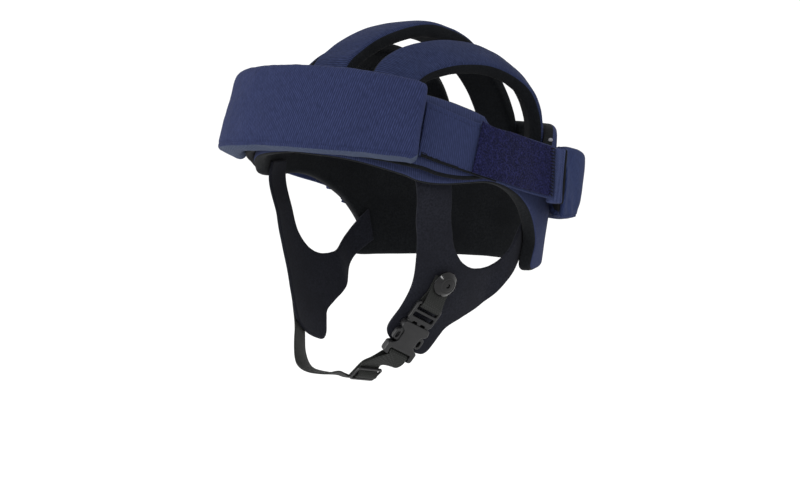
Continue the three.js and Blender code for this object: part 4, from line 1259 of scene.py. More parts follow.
def paint_strap_shade(piece, ring_count, counts):
    """Gives the lower edge of a strap black lining cloth in a wedge from the front end, as painted shade
    under the strap.
    """
    size = len(sides_of(counts))
    for i in range(CAP_STEPS + END_STEPS, CAP_STEPS + ring_count // 2):
        taper = 1 - (i - CAP_STEPS - END_STEPS) / (ring_count // 2 - END_STEPS)
        reach = CORNER_STEPS + round(SHADE_WEDGE_STRIPS * taper)
        for j in range(reach):
            piece.data.polygons[i * size + j].material_index = 1


class HELMET_OT_side_straps(bpy.types.Operator):
    """Flat straps along both sides, with their pile patches and rolled ends."""

    bl_idname = "helmet.side_straps"
    bl_label = "Side straps"

    def execute(self, context):
        strap_cloth = navy_cloth("Navy strap cloth", look().cloth, 6, 0.3)
        pile = shared("Loop pile", lambda name: pile_cloth(name, look().pile, look().pile_edge))
        rolled = navy_cloth("Rolled cloth", look().roll, 86, 0.25)
        thread = sewing_thread("Navy thread", look().thread)
        dark = sewing_thread("Dark thread", look().dark_thread)
        counts = (26, 3, 10, 3)
        stations = curve_through(SIDE_STRAP_ROWS, 101)
        groove = hem_shape(STRAP_HEM, STRAP_HEM_DEPTH)
        strap = band_rings(stations, 4 * (STRAP_EDGE,), counts, STRAP_EDGE, groove, FACE_GATHER)
        patches = patch_stations(81)
        patch = band_rings(patches, 4 * (PATCH_EDGE,), counts, PATCH_EDGE)
        plain = [0] * len(sides_of(counts))
        roll = roll_rings()
        around = [k / ROLL_SIDES for k in range(ROLL_SIDES)]
        # Black lining in a strip round the roll is painted shade of its crevice beside the rear bumper
        roll_shade_strips = [1 if ROLL_SHADE_STRIP[0] < share < ROLL_SHADE_STRIP[1] else 0 for share in around]
        inner_rows = stations[2:-2]
        hem = [on_band(row, 1 - STRAP_HEM / (row["high"] - row["low"]), -0.3) for row in inner_rows]
        lower = [on_band(row, STRAP_LOWER_SEAM / (row["high"] - row["low"]), 0.05) for row in inner_rows]
        rear = whip_stitches(patches[-3], stations[-1])
        stitch = sizes().stitch / MM
        gap = sizes().stitch_gap / MM
        width = sizes().stitch_width / MM
        for side in ("left", "right"):
            flip = (lambda rings: rings) if side == "left" else mirror
            turn = (lambda route: route) if side == "left" else mirror_route
            materials = (strap_cloth, lining_and_shade_cloth())
            piece = skin(f"side_strap_{side}_cloth", flip(strap), materials, plain)
            # Black lining in a wedge along the lower edge is painted shade under the strap
            paint_strap_shade(piece, len(strap), counts)
            settle(piece, "navy_cloth", f"side_strap_{side}")
            rows = sew(f"side_strap_{side}_stitching", [turn(hem), turn(lower)], stitch, gap, width, thread)
            settle(rows, "navy_cloth")
            pad_piece = skin(f"loop_patch_{side}_pile", flip(patch), (pile,), plain)
            ruffle(pad_piece, 0.00018, 0.0016, 1.3)
            settle(pad_piece, "navy_pile", f"loop_patch_{side}")
            lines = [turn(line) for line in rear]
            bars = sew(f"loop_patch_{side}_stitching", lines, WHIP_LENGTH, WHIP_GAP, WHIP_WIDTH, dark)
            settle(bars, "navy_pile")
            fold = skin(f"strap_roll_{side}_cloth", flip(roll), (rolled, lining_and_shade_cloth()), roll_shade_strips)
            ruffle(fold, 0.6 * sizes().pucker, 0.007, 8.8, (1, 1, 0.3))
            settle(fold, "navy_twill", f"strap_roll_{side}")
        return {"FINISHED"}


def whip_stitches(patch_end, strap_end):
    """Short bars of stitching over the rear end of a patch, as routes of their own."""
    routes = []
    for i in range(WHIP_STITCHES):
        f = 0.05 + 0.9 * i / (WHIP_STITCHES - 1)
        over = on_band(patch_end, f, 0.1)
        down = on_band(strap_end, f, 0.3)
        routes.append([over, ((over[0] + down[0]) / 2 + over[1] * 0.6, over[1]), down])
    return routes


def roll_rings():
    """Rings of the rolled strap end, as a loose spiral that stands beside the rear bumper."""
    foot = band_point(ROLL_FOOT_ANGLE, ROLL_LOW, ROLL_OFFSET)
    head = band_point(ROLL_HEAD_ANGLE, ROLL_HIGH, ROLL_OFFSET)
    axis = (head - foot).normalized()
    length = (head - foot).length
    aside = Vector((0, -1, 0))
    aside = (aside - axis * aside.dot(axis)).normalized()
    depth = axis.cross(aside)
    turns = [math.radians(90 * i / END_STEPS) for i in range(END_STEPS)]
    rounding = [(ROLL_EDGE * (1 - math.cos(a)), ROLL_EDGE * (1 - math.sin(a))) for a in turns]
    profile = list(rounding)
    for i in range(ROLL_STEPS + 1):
        profile.append((ROLL_EDGE + (length - 2 * ROLL_EDGE) * i / ROLL_STEPS, 0))
    profile += [(length - up, inset) for up, inset in reversed(rounding)]
    rings = []
    for up, inset in profile:
        ring = []
        for k in range(ROLL_SIDES):
            a = 2 * math.pi * k / ROLL_SIDES
            fold = 0
            for crease in ROLL_CREASES:
                turn = a - crease["turn"] - crease["sway"] * math.sin(up / 9 + 5 * crease["turn"])
                turn = (turn + math.pi) % (2 * math.pi) - math.pi
                fold += crease["depth"] * math.exp(-((turn / crease["width"]) ** 2))
            radius = ROLL_RADIUS - ROLL_SLIM - inset - fold
            ring.append(foot + axis * up + (aside * math.cos(a) + depth * math.sin(a)) * radius)
        rings.append(ring)
    return rings


# Ear yokes


CHEEK_STATIONS = curve_through(CHEEK_ROWS, 121)


def cheek_x(y, z):
    """How far the form under the yokes stands out at a place on it."""
    i = 1
    while i < len(CHEEK_STATIONS) - 1 and z >= CHEEK_STATIONS[i]["z"]:
        i += 1
    below = CHEEK_STATIONS[i - 1]
    above = CHEEK_STATIONS[i]
    f = min(max((z - below["z"]) / (above["z"] - below["z"]), 0), 1)
    width = below["half_width"] + (above["half_width"] - below["half_width"]) * f
    length = below["half_length"] + (above["half_length"] - below["half_length"]) * f
    share = min(abs(y) / length, 0.99)
    return width * (1 - share**FORM_ROUNDNESS) ** (1 / FORM_ROUNDNESS)


def band_x(y, z, offset):
    """How far a band at an offset over the oval form stands out at a place on it."""
    x = FORM_HALF_WIDTH
    for _ in range(12):
        radius = band_radius(math.atan2(x, -y), z, offset)
        x = math.sqrt(max(radius * radius - y * y, 1))
    return x


def yoke_x(y, z):
    """How far the yoke stands out, from its free end to where it is tucked under the headband."""
    under_band = smoothstep(z, YOKE_FREE_Z, YOKE_TUCKED_Z)
    under_nape = smoothstep(y, YOKE_FREE_Y, YOKE_TUCKED_Y)
    share = max(under_band, under_nape)
    cheek = cheek_x(y, z) + YOKE_OFFSET
    return cheek + (band_x(y, z, YOKE_OFFSET) - cheek) * share


def yoke_point(y, z, height):
    """Point at a height above the middle of the left yoke sheet, and the normal there."""
    slope_y = (yoke_x(y + 1, z) - yoke_x(y - 1, z)) / 2
    slope_z = (yoke_x(y, z + 1) - yoke_x(y, z - 1)) / 2
    normal = Vector((1, -slope_y, -slope_z)).normalized()
    return Vector((yoke_x(y, z), y, z)) + normal * height, normal


def yoke_rings():
    """Rings of the left yoke sheet, from its front leg to its rear leg, with rounded edges."""
    half = YOKE_THICKNESS / 2
    rings = []
    for row in curve_through(YOKE_ROWS, 171):
        span = math.hypot(row["outer_y"] - row["ear_y"], row["outer_z"] - row["ear_z"])
        edge = YOKE_EDGE / span
        shares = [edge * (1 - math.cos(math.radians(18 * i))) for i in range(5)]
        shares += [edge + (1 - 2 * edge) * i / 14 for i in range(15)]
        shares += [1 - share for share in reversed(shares[:5])]
        outside = []
        inside = []
        for share in shares:
            y = row["outer_y"] + (row["ear_y"] - row["outer_y"]) * share
            z = row["outer_z"] + (row["ear_z"] - row["outer_z"]) * share
            near = min(min(share, 1 - share) / edge, 1)
            height = half * (0.25 + 0.75 * math.sqrt(max(1 - (1 - near) ** 2, 0)))
            outside.append(yoke_point(y, z, height)[0])
            inside.append(yoke_point(y, z, -height)[0])
        rings.append(outside + inside[::-1])
    return rings


class HELMET_OT_ear_yokes(bpy.types.Operator):
    """Black neoprene sheets round the ears, down to the jaw."""

    bl_idname = "helmet.ear_yokes"
    bl_label = "Ear yokes"

    def execute(self, context):
        sheet = napped_cloth("Black neoprene", look().neoprene, 0.0013, 0.00012, 0.08)
        rings = yoke_rings()
        for side in ("left", "right"):
            placed = rings if side == "left" else mirror(rings)
            piece = skin(f"ear_yoke_{side}_sheet", placed, (sheet,), [0] * len(rings[0]))
            ruffle(piece, 0.2 * sizes().pucker, 0.02, 6.2)
            settle(piece, "black_neoprene", f"ear_yoke_{side}")
        return {"FINISHED"}


# Turned pieces: buttons and small rivets


def turned(name, profile, seat, axis, material, sides):
    """Profile of (radius, height) points turned round an axis."""
    aside = axis.orthogonal().normalized()
    depth = axis.cross(aside)
    vertices = []
    faces = []
    for radius, up in profile:
        for k in range(sides):
            a = 2 * math.pi * k / sides
            outward = aside * math.cos(a) + depth * math.sin(a)
            vertices.append((seat + axis * up + outward * max(radius, POINT_RADIUS)) * MM)
    for i in range(len(profile) - 1):
        for k in range(sides):
            n = (k + 1) % sides
            faces.append((i * sides + k, i * sides + n, (i + 1) * sides + n, (i + 1) * sides + k))
    faces.append(tuple(range(sides)))
    faces.append(tuple((len(profile) - 1) * sides + k for k in range(sides)))
    mesh = bpy.data.meshes.new(name)
    mesh.from_pydata(vertices, [], faces)
    mesh.materials.append(material)
    return place_mesh(name, mesh, 40)


def layer_height(layer):
    """Height of the middle of a webbing layer above the middle of the yoke sheet."""
    first = YOKE_THICKNESS / 2 + WEBBING_GAP + WEBBING_THICKNESS / 2
    return first + layer * (WEBBING_THICKNESS + WEBBING_GAP)


# Profiles from the seat to the top, as (radius, height) in millimetres
BUTTON_PROFILE = (
    (0, 0), (8.3, 0), (8.6, 0.2), (8.7, 0.6), (8.7, 1), (8.55, 1.3), (8.05, 1.72), (7.2, 2.43), (6.1, 3.35),
    (5.4, 3.86), (5.1, 4), (4.85, 4.02), (4.6, 3.9), (4.4, 3.88), (4.2, 4), (3.9, 4.13), (3.2, 4.28),
    (2, 4.42), (1.6, 4.4), (1.3, 4.1), (1.1, 3.3), (0, 3.3),
)
RIVET_PROFILE = ((0, 0), (1.5, 0), (1.6, 0.15), (1.5, 0.5), (1.2, 0.78), (0.7, 0.95), (0, 1))


def nape_rivet_seat():
    """Place and direction of the left rivet, square to the rising rear edge of the headband."""
    rows = curve_through(SHELL_ROWS, 12 * len(SHELL_ROWS))

    def edge_at(angle, offset):
        high = next(row["high"] for row in rows if row["angle"] > angle)
        return band_point(angle, high, offset)

    seat = edge_at(NAPE_RIVET_ANGLE, NAPE_RIVET_OFFSET)
    below = edge_at(NAPE_RIVET_ANGLE - 2, NAPE_RIVET_OFFSET)
    rising = edge_at(NAPE_RIVET_ANGLE + 2, NAPE_RIVET_OFFSET) - below
    outward = edge_at(NAPE_RIVET_ANGLE, NAPE_RIVET_OFFSET + 1) - seat
    square = outward.cross(rising).normalized()
    return seat + square * NAPE_RIVET_GAP, square


class HELMET_OT_buttons(bpy.types.Operator):
    """Press buttons on the yokes and small rivets at the nape."""

    bl_idname = "helmet.buttons"
    bl_label = "Buttons and rivets"

    def execute(self, context):
        pale = plastic("Pale rivet", look().rivet, 0.35, 0.5, 0.4)
        gloss = plastic("Glossy plastic", look().button, 0.1, 0.15, 0.27)
        for side, layers in (("left", 2), ("right", 1)):
            height = layer_height(layers - 1) + WEBBING_THICKNESS / 2 + WEBBING_GAP
            seat, axis = yoke_point(BUTTON_Y, BUTTON_Z, height)
            nape, square = nape_rivet_seat()
            if side == "right":
                seat, axis, nape, square = (vector * FLIP for vector in (seat, axis, nape, square))
            button = turned(f"yoke_button_{side}_cap", BUTTON_PROFILE, seat, axis, gloss, BUTTON_SIDES)
            settle(button, "black_plastic", f"yoke_button_{side}")
            rivet = turned(f"nape_rivet_{side}_head", RIVET_PROFILE, nape, square, pale, RIVET_SIDES)
            settle(rivet, "pale_rivet", f"nape_rivet_{side}")
        return {"FINISHED"}


# Buckle and slider


def filleted(corners):
    """Closed outline from (x, y, radius) corners, each rounded off."""
    loop = []
    count = len(corners)
    for i in range(count):
        here = Vector(corners[i][:2])
        before = Vector(corners[i - 1][:2]) - here
        after = Vector(corners[(i + 1) % count][:2]) - here
        cut = min(corners[i][2], 0.49 * before.length, 0.49 * after.length)
        start = here + before.normalized() * cut
        end = here + after.normalized() * cut
        for k in range(FILLET_STEPS + 1):
            f = k / FILLET_STEPS
            loop.append(start * (1 - f) ** 2 + here * 2 * f * (1 - f) + end * f * f)
    return loop


def both_sides(half):
    """A right-hand half outline joined to its mirror image."""
    return list(half) + [(-x, y, radius) for x, y, radius in reversed(half)]


def slot_outline(from_y, to_y):
    """Slot for the webbing, between two places along a moulding."""
    return filleted(both_sides([(SLOT_WIDTH / 2, y, SLOT_CORNER) for y in (from_y, to_y)]))


def oval(x, y, half_width, half_length):
    """Oval hole round a place in a moulding."""
    turns = [2 * math.pi * k / OVAL_STEPS for k in range(OVAL_STEPS)]
    return [Vector((x + half_width * math.cos(a), y + half_length * math.sin(a))) for a in turns]


def plate(name, outline, holes, half_thickness, edge):
    """Flat moulding with rounded edges, as a mesh in its own frame."""
    curve = bpy.data.curves.new(name, "CURVE")
    curve.dimensions = "2D"
    curve.fill_mode = "BOTH"
    curve.extrude = (half_thickness - edge) * MM
    curve.bevel_depth = edge * MM
    curve.bevel_resolution = 2
    curve.offset = -edge * MM
    for loop in (outline, *holes):
        spline = curve.splines.new("POLY")
        spline.points.add(len(loop) - 1)
        for point, place in zip(spline.points, loop):
            point.co = (place[0] * MM, place[1] * MM, 0, 1)
        spline.use_cyclic_u = True
    carrier = bpy.data.objects.new(name, curve)
    bpy.context.scene.collection.objects.link(carrier)
    graph = bpy.context.evaluated_depsgraph_get()
    mesh = bpy.data.meshes.new_from_object(carrier.evaluated_get(graph))
    bpy.data.objects.remove(carrier)
    bpy.data.curves.remove(curve)
    edit = bmesh.new()
    edit.from_mesh(mesh)
    bmesh.ops.remove_doubles(edit, verts=edit.verts, dist=1e-6)
    edit.to_mesh(mesh)
    edit.free()
    return mesh


def cut_boxes(mesh, boxes):
    """Mesh with boxes of (x, y, z, width, length, height) in millimetres taken out of it."""
    edit = bmesh.new()
    for x, y, z, width, length, height in boxes:
        size = Matrix.Diagonal((width * MM, length * MM, height * MM, 1))
        bmesh.ops.create_cube(edit, size=1, matrix=Matrix.Translation(Vector((x, y, z)) * MM) @ size)
    cutter_mesh = bpy.data.meshes.new("cutter")
    edit.to_mesh(cutter_mesh)
    edit.free()
    cutter = bpy.data.objects.new("cutter", cutter_mesh)
    body = bpy.data.objects.new("body", mesh)
    for item in (cutter, body):
        bpy.context.scene.collection.objects.link(item)
    modifier = body.modifiers.new("cut", "BOOLEAN")
    modifier.operation = "DIFFERENCE"
    modifier.solver = "EXACT"
    modifier.object = cutter
    graph = bpy.context.evaluated_depsgraph_get()
    result = bpy.data.meshes.new_from_object(body.evaluated_get(graph))
    bpy.data.objects.remove(cutter)
    bpy.data.objects.remove(body)
    bpy.data.meshes.remove(cutter_mesh)
    return result


def buckle_matrix():
    """Buckle frame in millimetres: X across, Y from the button towards the chin, Z off the yoke."""
    top, top_normal = yoke_point(*BUCKLE_START, BUCKLE_LIFT)
    foot, foot_normal = yoke_point(*BUCKLE_END, BUCKLE_LIFT)
    along = (foot - top).normalized()
    out = top_normal + foot_normal
    out = (out - along * out.dot(along)).normalized()
    middle = top + along * BUCKLE_MIDDLE
    along = Matrix.Rotation(math.radians(BUCKLE_TURN_DEG), 3, out) @ along
    return frame_matrix(along.cross(out), along, out, middle - along * BUCKLE_MIDDLE)


def frame_matrix(x_axis, y_axis, z_axis, origin):
    """Matrix that carries a piece's own frame to these axes and this origin."""
    matrix = Matrix((x_axis, y_axis, z_axis)).transposed().to_4x4()
    matrix.translation = origin
    return matrix


def mount_mesh(name, mesh, matrix):
    """Places a moulded mesh by a matrix in millimetres."""
    mesh.transform(frame_matrix(*(matrix.to_3x3().col[k] for k in range(3)), matrix.translation * MM))
    mesh.materials.clear()
    mesh.materials.append(black_plastic())
    return place_mesh(name, mesh, 38)


# Right-hand half outlines of the two buckle pieces, as (x, y, radius) corners in the buckle's frame
MALE_HALF = (
    (10, 0, 2.6), (10, 13.6, 2), (8.8, 14.6, 0.8), (8.8, 22, 1.2), (11.6, 23.6, 3), (11.8, 30.6, 3),
    (5.2, 31, 1.6), (5.2, 14.4, 0.8), (1.6, 14.4, 0.8), (1.6, 29, 1.2),
)
FEMALE_HALF = (
    (9.6, 15.6, 2.4), (10.7, 18, 2), (10.7, 20.6, 2.2), (6.9, 22.4, 1.6), (6.5, 30.6, 1.6),
    (9.4, 32.6, 1.2), (11.75, 33.6, 2), (11.75, 41.4, 2.6),
)


class HELMET_OT_buckle(bpy.types.Operator):
    """Side-release buckle, fastened, on the left yoke."""

    bl_idname = "helmet.buckle"
    bl_label = "Buckle"

    def execute(self, context):
        matrix = buckle_matrix()
        wings = []
        for side in (-1, 1):
            wings.append(oval(side * WING_HOLE_X, WING_HOLE_Y, WING_HOLE_HALF_WIDTH, WING_HOLE_HALF_LENGTH))
        holes = [slot_outline(*slot) for slot in MALE_SLOTS] + wings
        outline = filleted(both_sides(MALE_HALF))
        male = plate("buckle_male_plug", outline, holes, MALE_HALF_THICKNESS, MALE_EDGE)
        settle(mount_mesh("buckle_male_plug", male, matrix), "black_plastic", "buckle_male")
        end_slot = slot_outline(FEMALE_SLOT_FROM, FEMALE_SLOT_TO)
        outline = filleted(both_sides(FEMALE_HALF))
        female = plate("buckle_female_body", outline, [end_slot], FEMALE_HALF_THICKNESS, FEMALE_EDGE)
        bar = (FEMALE_SLOT_FROM + FEMALE_END + 1) / 2
        length = FEMALE_END + 1 - FEMALE_SLOT_FROM
        recesses = []
        for lift in (BAR_RECESS_LIFT, -BAR_RECESS_LIFT):
            recesses.append((0, bar, lift, SLOT_WIDTH, length, BAR_RECESS_HEIGHT))
        female = cut_boxes(female, (FEMALE_CAVITY, *recesses))
        settle(mount_mesh("buckle_female_body", female, matrix), "black_plastic", "buckle_female")
        return {"FINISHED"}


# Webbing


def ribbon_rings(route):
    """Rings of flat webbing along a route of (centre, across, along) stations, with rounded edges."""
    half = WEBBING_WIDTH / 2
    counts = (2, 16, 2, 16)
    thick = WEBBING_THICKNESS / 2
    outline = section(-half, half, -thick, thick, 4 * (WEBBING_EDGE,), counts)
    rings = []
    for centre, across, along in route:
        flat = (across - along * across.dot(along)).normalized()
        out = along.cross(flat).normalized()
        rings.append([centre + flat * a + out * o for a, o, _, _ in outline])
    return rings


def smooth_route(route, count):
    """Evenly finer route through the same (centre, across) stations.

    A station may add its direction along the webbing; otherwise that comes from its neighbours.
    """
    rows = []
    last = len(route) - 1
    for i, (centre, across, *known) in enumerate(route):
        along = known[0] if known else (route[min(i + 1, last)][0] - route[max(i - 1, 0)][0]).normalized()
        rows.append(dict(enumerate((*centre, *across, *along))))
    finer = curve_through(rows, count)
    return [tuple(Vector(row[k] for k in range(3 * n, 3 * n + 3)) for n in range(3)) for row in finer]


def turn_round_bar(matrix, across, bar_y, side):
    """Half turn of webbing round a buckle bar, from its lower face to its upper face."""
    route = []
    for i in range(TURN_STEPS + 1):
        a = math.pi * (i / TURN_STEPS - 0.5)
        place = Vector((0, bar_y + side * TURN_RADIUS * math.cos(a), TURN_RADIUS * math.sin(a)))
        route.append((matrix @ place, across))
    return route


def tab_route(matrix):
    """Tab from under the button, round the first bar of the buckle, and back under the button."""
    across = -matrix.to_3x3().col[0]
    step_y = (BUCKLE_START[0] - BUTTON_Y) / BUTTON_TO_BUCKLE
    step_z = (BUCKLE_START[1] - BUTTON_Z) / BUTTON_TO_BUCKLE

    def layer(number):
        stations = []
        for place in (-TAB_HEAD, 0, TAB_REACH):
            point, normal = yoke_point(
                BUTTON_Y + place * step_y, BUTTON_Z + place * step_z, layer_height(number)
            )
            stations.append((point, across - normal * across.dot(normal)))
        return stations

    def at_bar(height):
        return matrix @ Vector((0, -MALE_BAR / 2, height)), across

    below = layer(0) + [at_bar(-TURN_RADIUS)]
    above = [at_bar(TURN_RADIUS)] + layer(1)[::-1]
    return below + turn_round_bar(matrix, across, MALE_BAR / 2, 1) + above


def chin_line(matrix):
    """Middle line of the chin strap from the buckle's last bar to the right yoke."""
    across = -matrix.to_3x3().col[0]
    bar = matrix @ Vector((0, (FEMALE_SLOT_TO + FEMALE_END) / 2, 0))
    keys = "x y z across_x across_y across_z".split()
    rows = [dict(zip(keys, (*bar, *across)))] + CHIN_ROWS
    places = [yoke_point(y, z, layer_height(0)) for y, z in YOKE_END_ROWS]
    points = [point * FLIP for point, _ in places]
    last = len(points) - 1
    for i, (_, normal) in enumerate(places):
        along = (points[min(i + 1, last)] - points[max(i - 1, 0)]).normalized()
        rows.append(dict(zip(keys, (*points[i], *(normal * FLIP).cross(along)))))
    return rows


class ChinPath:
    """Places along the chin strap by length, with the directions of the webbing there."""

    steps = 20

    def __init__(self, rows):
        self.stations = curve_through(rows, self.steps * (len(rows) - 1) + 1)
        self.points = [Vector((row["x"], row["y"], row["z"])) for row in self.stations]
        self.lengths = [0]
        for before, after in zip(self.points, self.points[1:]):
            self.lengths.append(self.lengths[-1] + (after - before).length)
        self.slider_place = self.lengths[self.steps]

    def frame_at(self, place):
        last = len(self.points) - 1
        i = next((k for k, length in enumerate(self.lengths) if length >= place), last)
        i = max(i, 1)
        f = min(max((place - self.lengths[i - 1]) / (self.lengths[i] - self.lengths[i - 1]), 0), 1)
        centre = self.points[i - 1].lerp(self.points[i], f)
        along = (self.points[min(i + 1, last)] - self.points[i - 1]).normalized()
        row = self.stations[i]
        across = Vector((row["across_x"], row["across_y"], row["across_z"]))
        across = (across - along * across.dot(along)).normalized()
        return centre, along, across, along.cross(across)


def slider_frame(path):
    """Middle of the slider and its directions; the webbing bends where it leaves the slider."""
    centre, along, _, _ = path.frame_at(path.slider_place)
    row = CHIN_ROWS[0]
    across = Vector((row["across_x"], row["across_y"], row["across_z"])).normalized()
    along = (along - across * along.dot(across)).normalized()
    return centre, along, across, along.cross(across)


def chin_route(matrix, path):
    """Chin strap: loose end behind the slider, round the bar, back through the slider and on."""
    across = -matrix.to_3x3().col[0]
    centre, along, slider_across, out = slider_frame(path)
    edge = SLIDER_MIDDLE_BAR / 2 + 0.5
    far = SLIDER_MIDDLE_BAR / 2 + SLIDER_SLOT - 0.5
    bar_y = (FEMALE_SLOT_TO + FEMALE_END) / 2

    def near_bar(lift):
        return matrix @ Vector((0, bar_y + BAR_RUN, lift)), across

    def at_slider(place, lift):
        return centre + along * place + out * lift, slider_across, along

    behind = -SLIDER_WEAVE - WEBBING_THICKNESS - LAYER_GAP
    route = [at_slider(far + 3, behind), at_slider(-far - 6, behind), near_bar(-TURN_RADIUS)]
    route += turn_round_bar(matrix, across, bar_y, -1)
    route += [
        near_bar(TURN_RADIUS - 1),
        at_slider(-far - 6, -SLIDER_WEAVE),
        at_slider(-far, -SLIDER_WEAVE),
        at_slider(-edge, SLIDER_WEAVE),
        at_slider(edge, SLIDER_WEAVE),
        at_slider(far, -SLIDER_WEAVE),
        at_slider(far + 3, -SLIDER_WEAVE),
    ]
    total = path.lengths[-1]
    place = path.slider_place + far + 1.6 * STRAP_STEP
    while place < total:
        spot = path.frame_at(place)
        route.append((spot[0], spot[2], spot[1]))
        place += STRAP_STEP
    spot = path.frame_at(total)
    route.append((spot[0], spot[2], spot[1]))
    return route


class HELMET_OT_chin_strap(bpy.types.Operator):
    """Chin strap, its slider, and the tab from the button to the buckle."""

    bl_idname = "helmet.chin_strap"
    bl_label = "Chin strap"

    def execute(self, context):
        matrix = buckle_matrix()
        path = ChinPath(chin_line(matrix))
        for name, node, route in (
            ("chin_strap_webbing", "chin_strap", chin_route(matrix, path)),
            ("buckle_tab_webbing", "buckle_tab", tab_route(matrix)),
        ):
            finer = smooth_route(route, 8 * (len(route) - 1) + 1)
            rings = ribbon_rings(finer)
            piece = skin(name, rings, (webbing_weave(),), [0] * len(rings[0]))
            settle(piece, "black_webbing", node)
            length = sum((b[0] - a[0]).length for a, b in zip(finer, finer[1:])) * MM
        centre, along, across, out = slider_frame(path)
        length = 2 * SLIDER_OUTER_BAR + 2 * SLIDER_SLOT + SLIDER_MIDDLE_BAR
        near = SLIDER_MIDDLE_BAR / 2
        corners = [(SLIDER_WIDTH / 2, y, SLIDER_CORNER) for y in (-length / 2, length / 2)]
        slots = [slot_outline(near, near + SLIDER_SLOT), slot_outline(-near - SLIDER_SLOT, -near)]
        outline = filleted(both_sides(corners))
        ladder = plate("strap_slider_ladder", outline, slots, SLIDER_HALF_THICKNESS, SLIDER_EDGE)
        slider = mount_mesh("strap_slider_ladder", ladder, frame_matrix(-across, along, out, centre))
        settle(slider, "black_plastic", "strap_slider")
        return {"FINISHED"}


# Stage: camera, floor and soft light

CAMERA_TURN_DEG = 43.5
CAMERA_RISE_DEG = 7.2
CAMERA_ROLL_DEG = -1.4
CAMERA_DISTANCE = 1.1
SENSOR_WIDTH = 36
METRES_PER_PIXEL = 0.00069
PICTURE_WIDTH = 800
PICTURE_MIDDLE = (400, 250)
ORIGIN_PIXEL = (406, 148)
STUDIO_LIGHT = 1.12
FLOOR_REACH = 30


def camera_axes():
    """Directions to the right of the picture, up in it, and back from it to the camera."""
    turn = math.radians(CAMERA_TURN_DEG)
    rise = math.radians(CAMERA_RISE_DEG)
    roll = math.radians(CAMERA_ROLL_DEG)
    back = Vector((math.sin(turn) * math.cos(rise), -math.cos(turn) * math.cos(rise), math.sin(rise)))
    right = Vector((math.cos(turn), math.sin(turn), 0))
    up = back.cross(right)
    return right * math.cos(roll) + up * math.sin(roll), up * math.cos(roll) - right * math.sin(roll), back


def soft_light(name, place, size, watts):
    """Large soft lamp that faces the helmet."""
    lamp = bpy.data.lights.new(name, "AREA")
    lamp.shape = "DISK"
    lamp.size = size
    lamp.energy = watts
    holder = bpy.data.objects.new(name, lamp)
    holder.location = place
    holder.rotation_euler = (-Vector(place)).to_track_quat("-Z", "Y").to_euler()
    bpy.context.scene.collection.objects.link(holder)


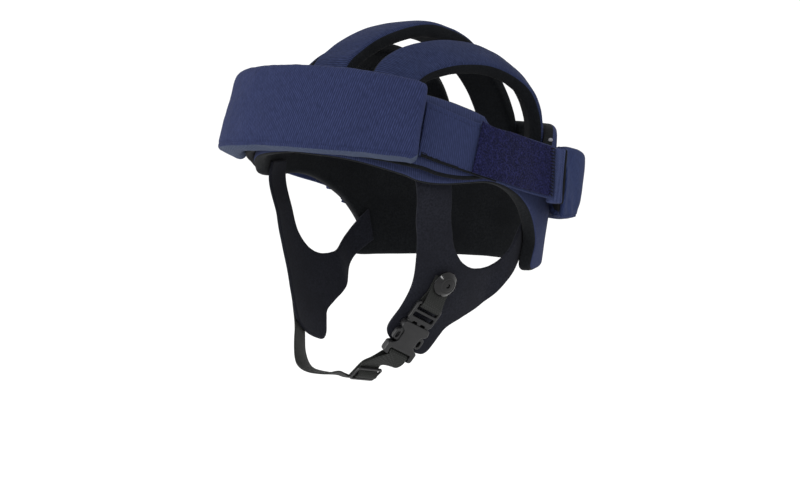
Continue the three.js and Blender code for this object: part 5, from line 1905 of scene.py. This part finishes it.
class HELMET_OT_stage(bpy.types.Operator):
    """Camera, plain pale floor and soft studio light."""

    bl_idname = "helmet.stage"
    bl_label = "Stage"

    def execute(self, context):
        scene = context.scene
        scene.view_settings.view_transform = "Standard"
        right, up, back = camera_axes()
        aim = right * (PICTURE_MIDDLE[0] - ORIGIN_PIXEL[0]) * METRES_PER_PIXEL
        aim += up * (ORIGIN_PIXEL[1] - PICTURE_MIDDLE[1]) * METRES_PER_PIXEL
        camera = bpy.data.cameras.new("camera")
        camera.sensor_width = SENSOR_WIDTH
        camera.lens = CAMERA_DISTANCE / METRES_PER_PIXEL * SENSOR_WIDTH / PICTURE_WIDTH
        holder = bpy.data.objects.new("camera", camera)
        holder.matrix_world = frame_matrix(right, up, back, aim + back * CAMERA_DISTANCE)
        scene.collection.objects.link(holder)
        scene.camera = holder
        world = bpy.data.worlds.new("pale studio")
        world.use_nodes = True
        background = world.node_tree.nodes["Background"]
        background.inputs["Color"].default_value = (1, 1, 1, 1)
        background.inputs["Strength"].default_value = STUDIO_LIGHT
        scene.world = world
        soft_light("key light", back * 1.3 + right * 0.3 + up * 0.38, 0.2, 3)
        soft_light("fill light", back * 0.25 - right * 1.5 + up * 0.3, 0.9, 9)
        soft_light("top light", Vector((0, 0.1, 1.4)), 0.8, 1.5)
        floor_mesh = bpy.data.meshes.new("floor")
        drop = -sizes().floor_drop
        turns = ((-1, -1), (1, -1), (1, 1), (-1, 1))
        corners = [(x * FLOOR_REACH, y * FLOOR_REACH, drop) for x, y in turns]
        floor_mesh.from_pydata(corners, [], [(0, 1, 2, 3)])
        paper = Finish("Pale paper", 0.9)
        fibre = paper.grain(paper.mapped("Object"), 0.004)
        paper.colour(paper.blend(fibre, (0.93, 0.93, 0.93), (0.97, 0.97, 0.97)))
        floor_mesh.materials.append(paper.material)
        floor = bpy.data.objects.new("floor", floor_mesh)
        scene.collection.objects.link(floor)
        return {"FINISHED"}


class HELMET_PT_panel(bpy.types.Panel):
    """Sidebar panel with the helmet's pieces, colours and sizes."""

    bl_idname = "HELMET_PT_panel"
    bl_label = "Soft protective helmet"
    bl_space_type = "VIEW_3D"
    bl_region_type = "UI"
    bl_category = "Helmet"

    def draw(self, context):
        for operator in OPERATORS:
            self.layout.operator(operator.bl_idname)
        for group in (context.scene.helmet_colours, context.scene.helmet_sizes):
            box = self.layout.box()
            for name in group.__annotations__:
                box.prop(group, name)


OPERATORS = (
    HELMET_OT_stage,
    HELMET_OT_base_shell,
    HELMET_OT_front_band,
    HELMET_OT_front_bumper,
    HELMET_OT_rear_bumper,
    HELMET_OT_crown_arches,
    HELMET_OT_side_straps,
    HELMET_OT_ear_yokes,
    HELMET_OT_buttons,
    HELMET_OT_buckle,
    HELMET_OT_chin_strap,
)
CLASSES = (HelmetColours, HelmetSizes, *OPERATORS, HELMET_PT_panel)


def register():
    for item in CLASSES:
        bpy.utils.register_class(item)
    bpy.types.Scene.helmet_colours = bpy.props.PointerProperty(type=HelmetColours)
    bpy.types.Scene.helmet_sizes = bpy.props.PointerProperty(type=HelmetSizes)


def unregister():
    del bpy.types.Scene.helmet_sizes
    del bpy.types.Scene.helmet_colours
    for item in reversed(CLASSES):
        bpy.utils.unregister_class(item)


def main():
    register()
    bpy.ops.helmet.stage()
    bpy.ops.helmet.base_shell()
    bpy.ops.helmet.front_band()
    bpy.ops.helmet.front_bumper()
    bpy.ops.helmet.rear_bumper()
    bpy.ops.helmet.crown_arches()
    bpy.ops.helmet.side_straps()
    bpy.ops.helmet.ear_yokes()
    bpy.ops.helmet.buttons()
    bpy.ops.helmet.buckle()
    bpy.ops.helmet.chin_strap()
    bpy.context.view_layer.update()


if __name__ == "__main__":
    main()
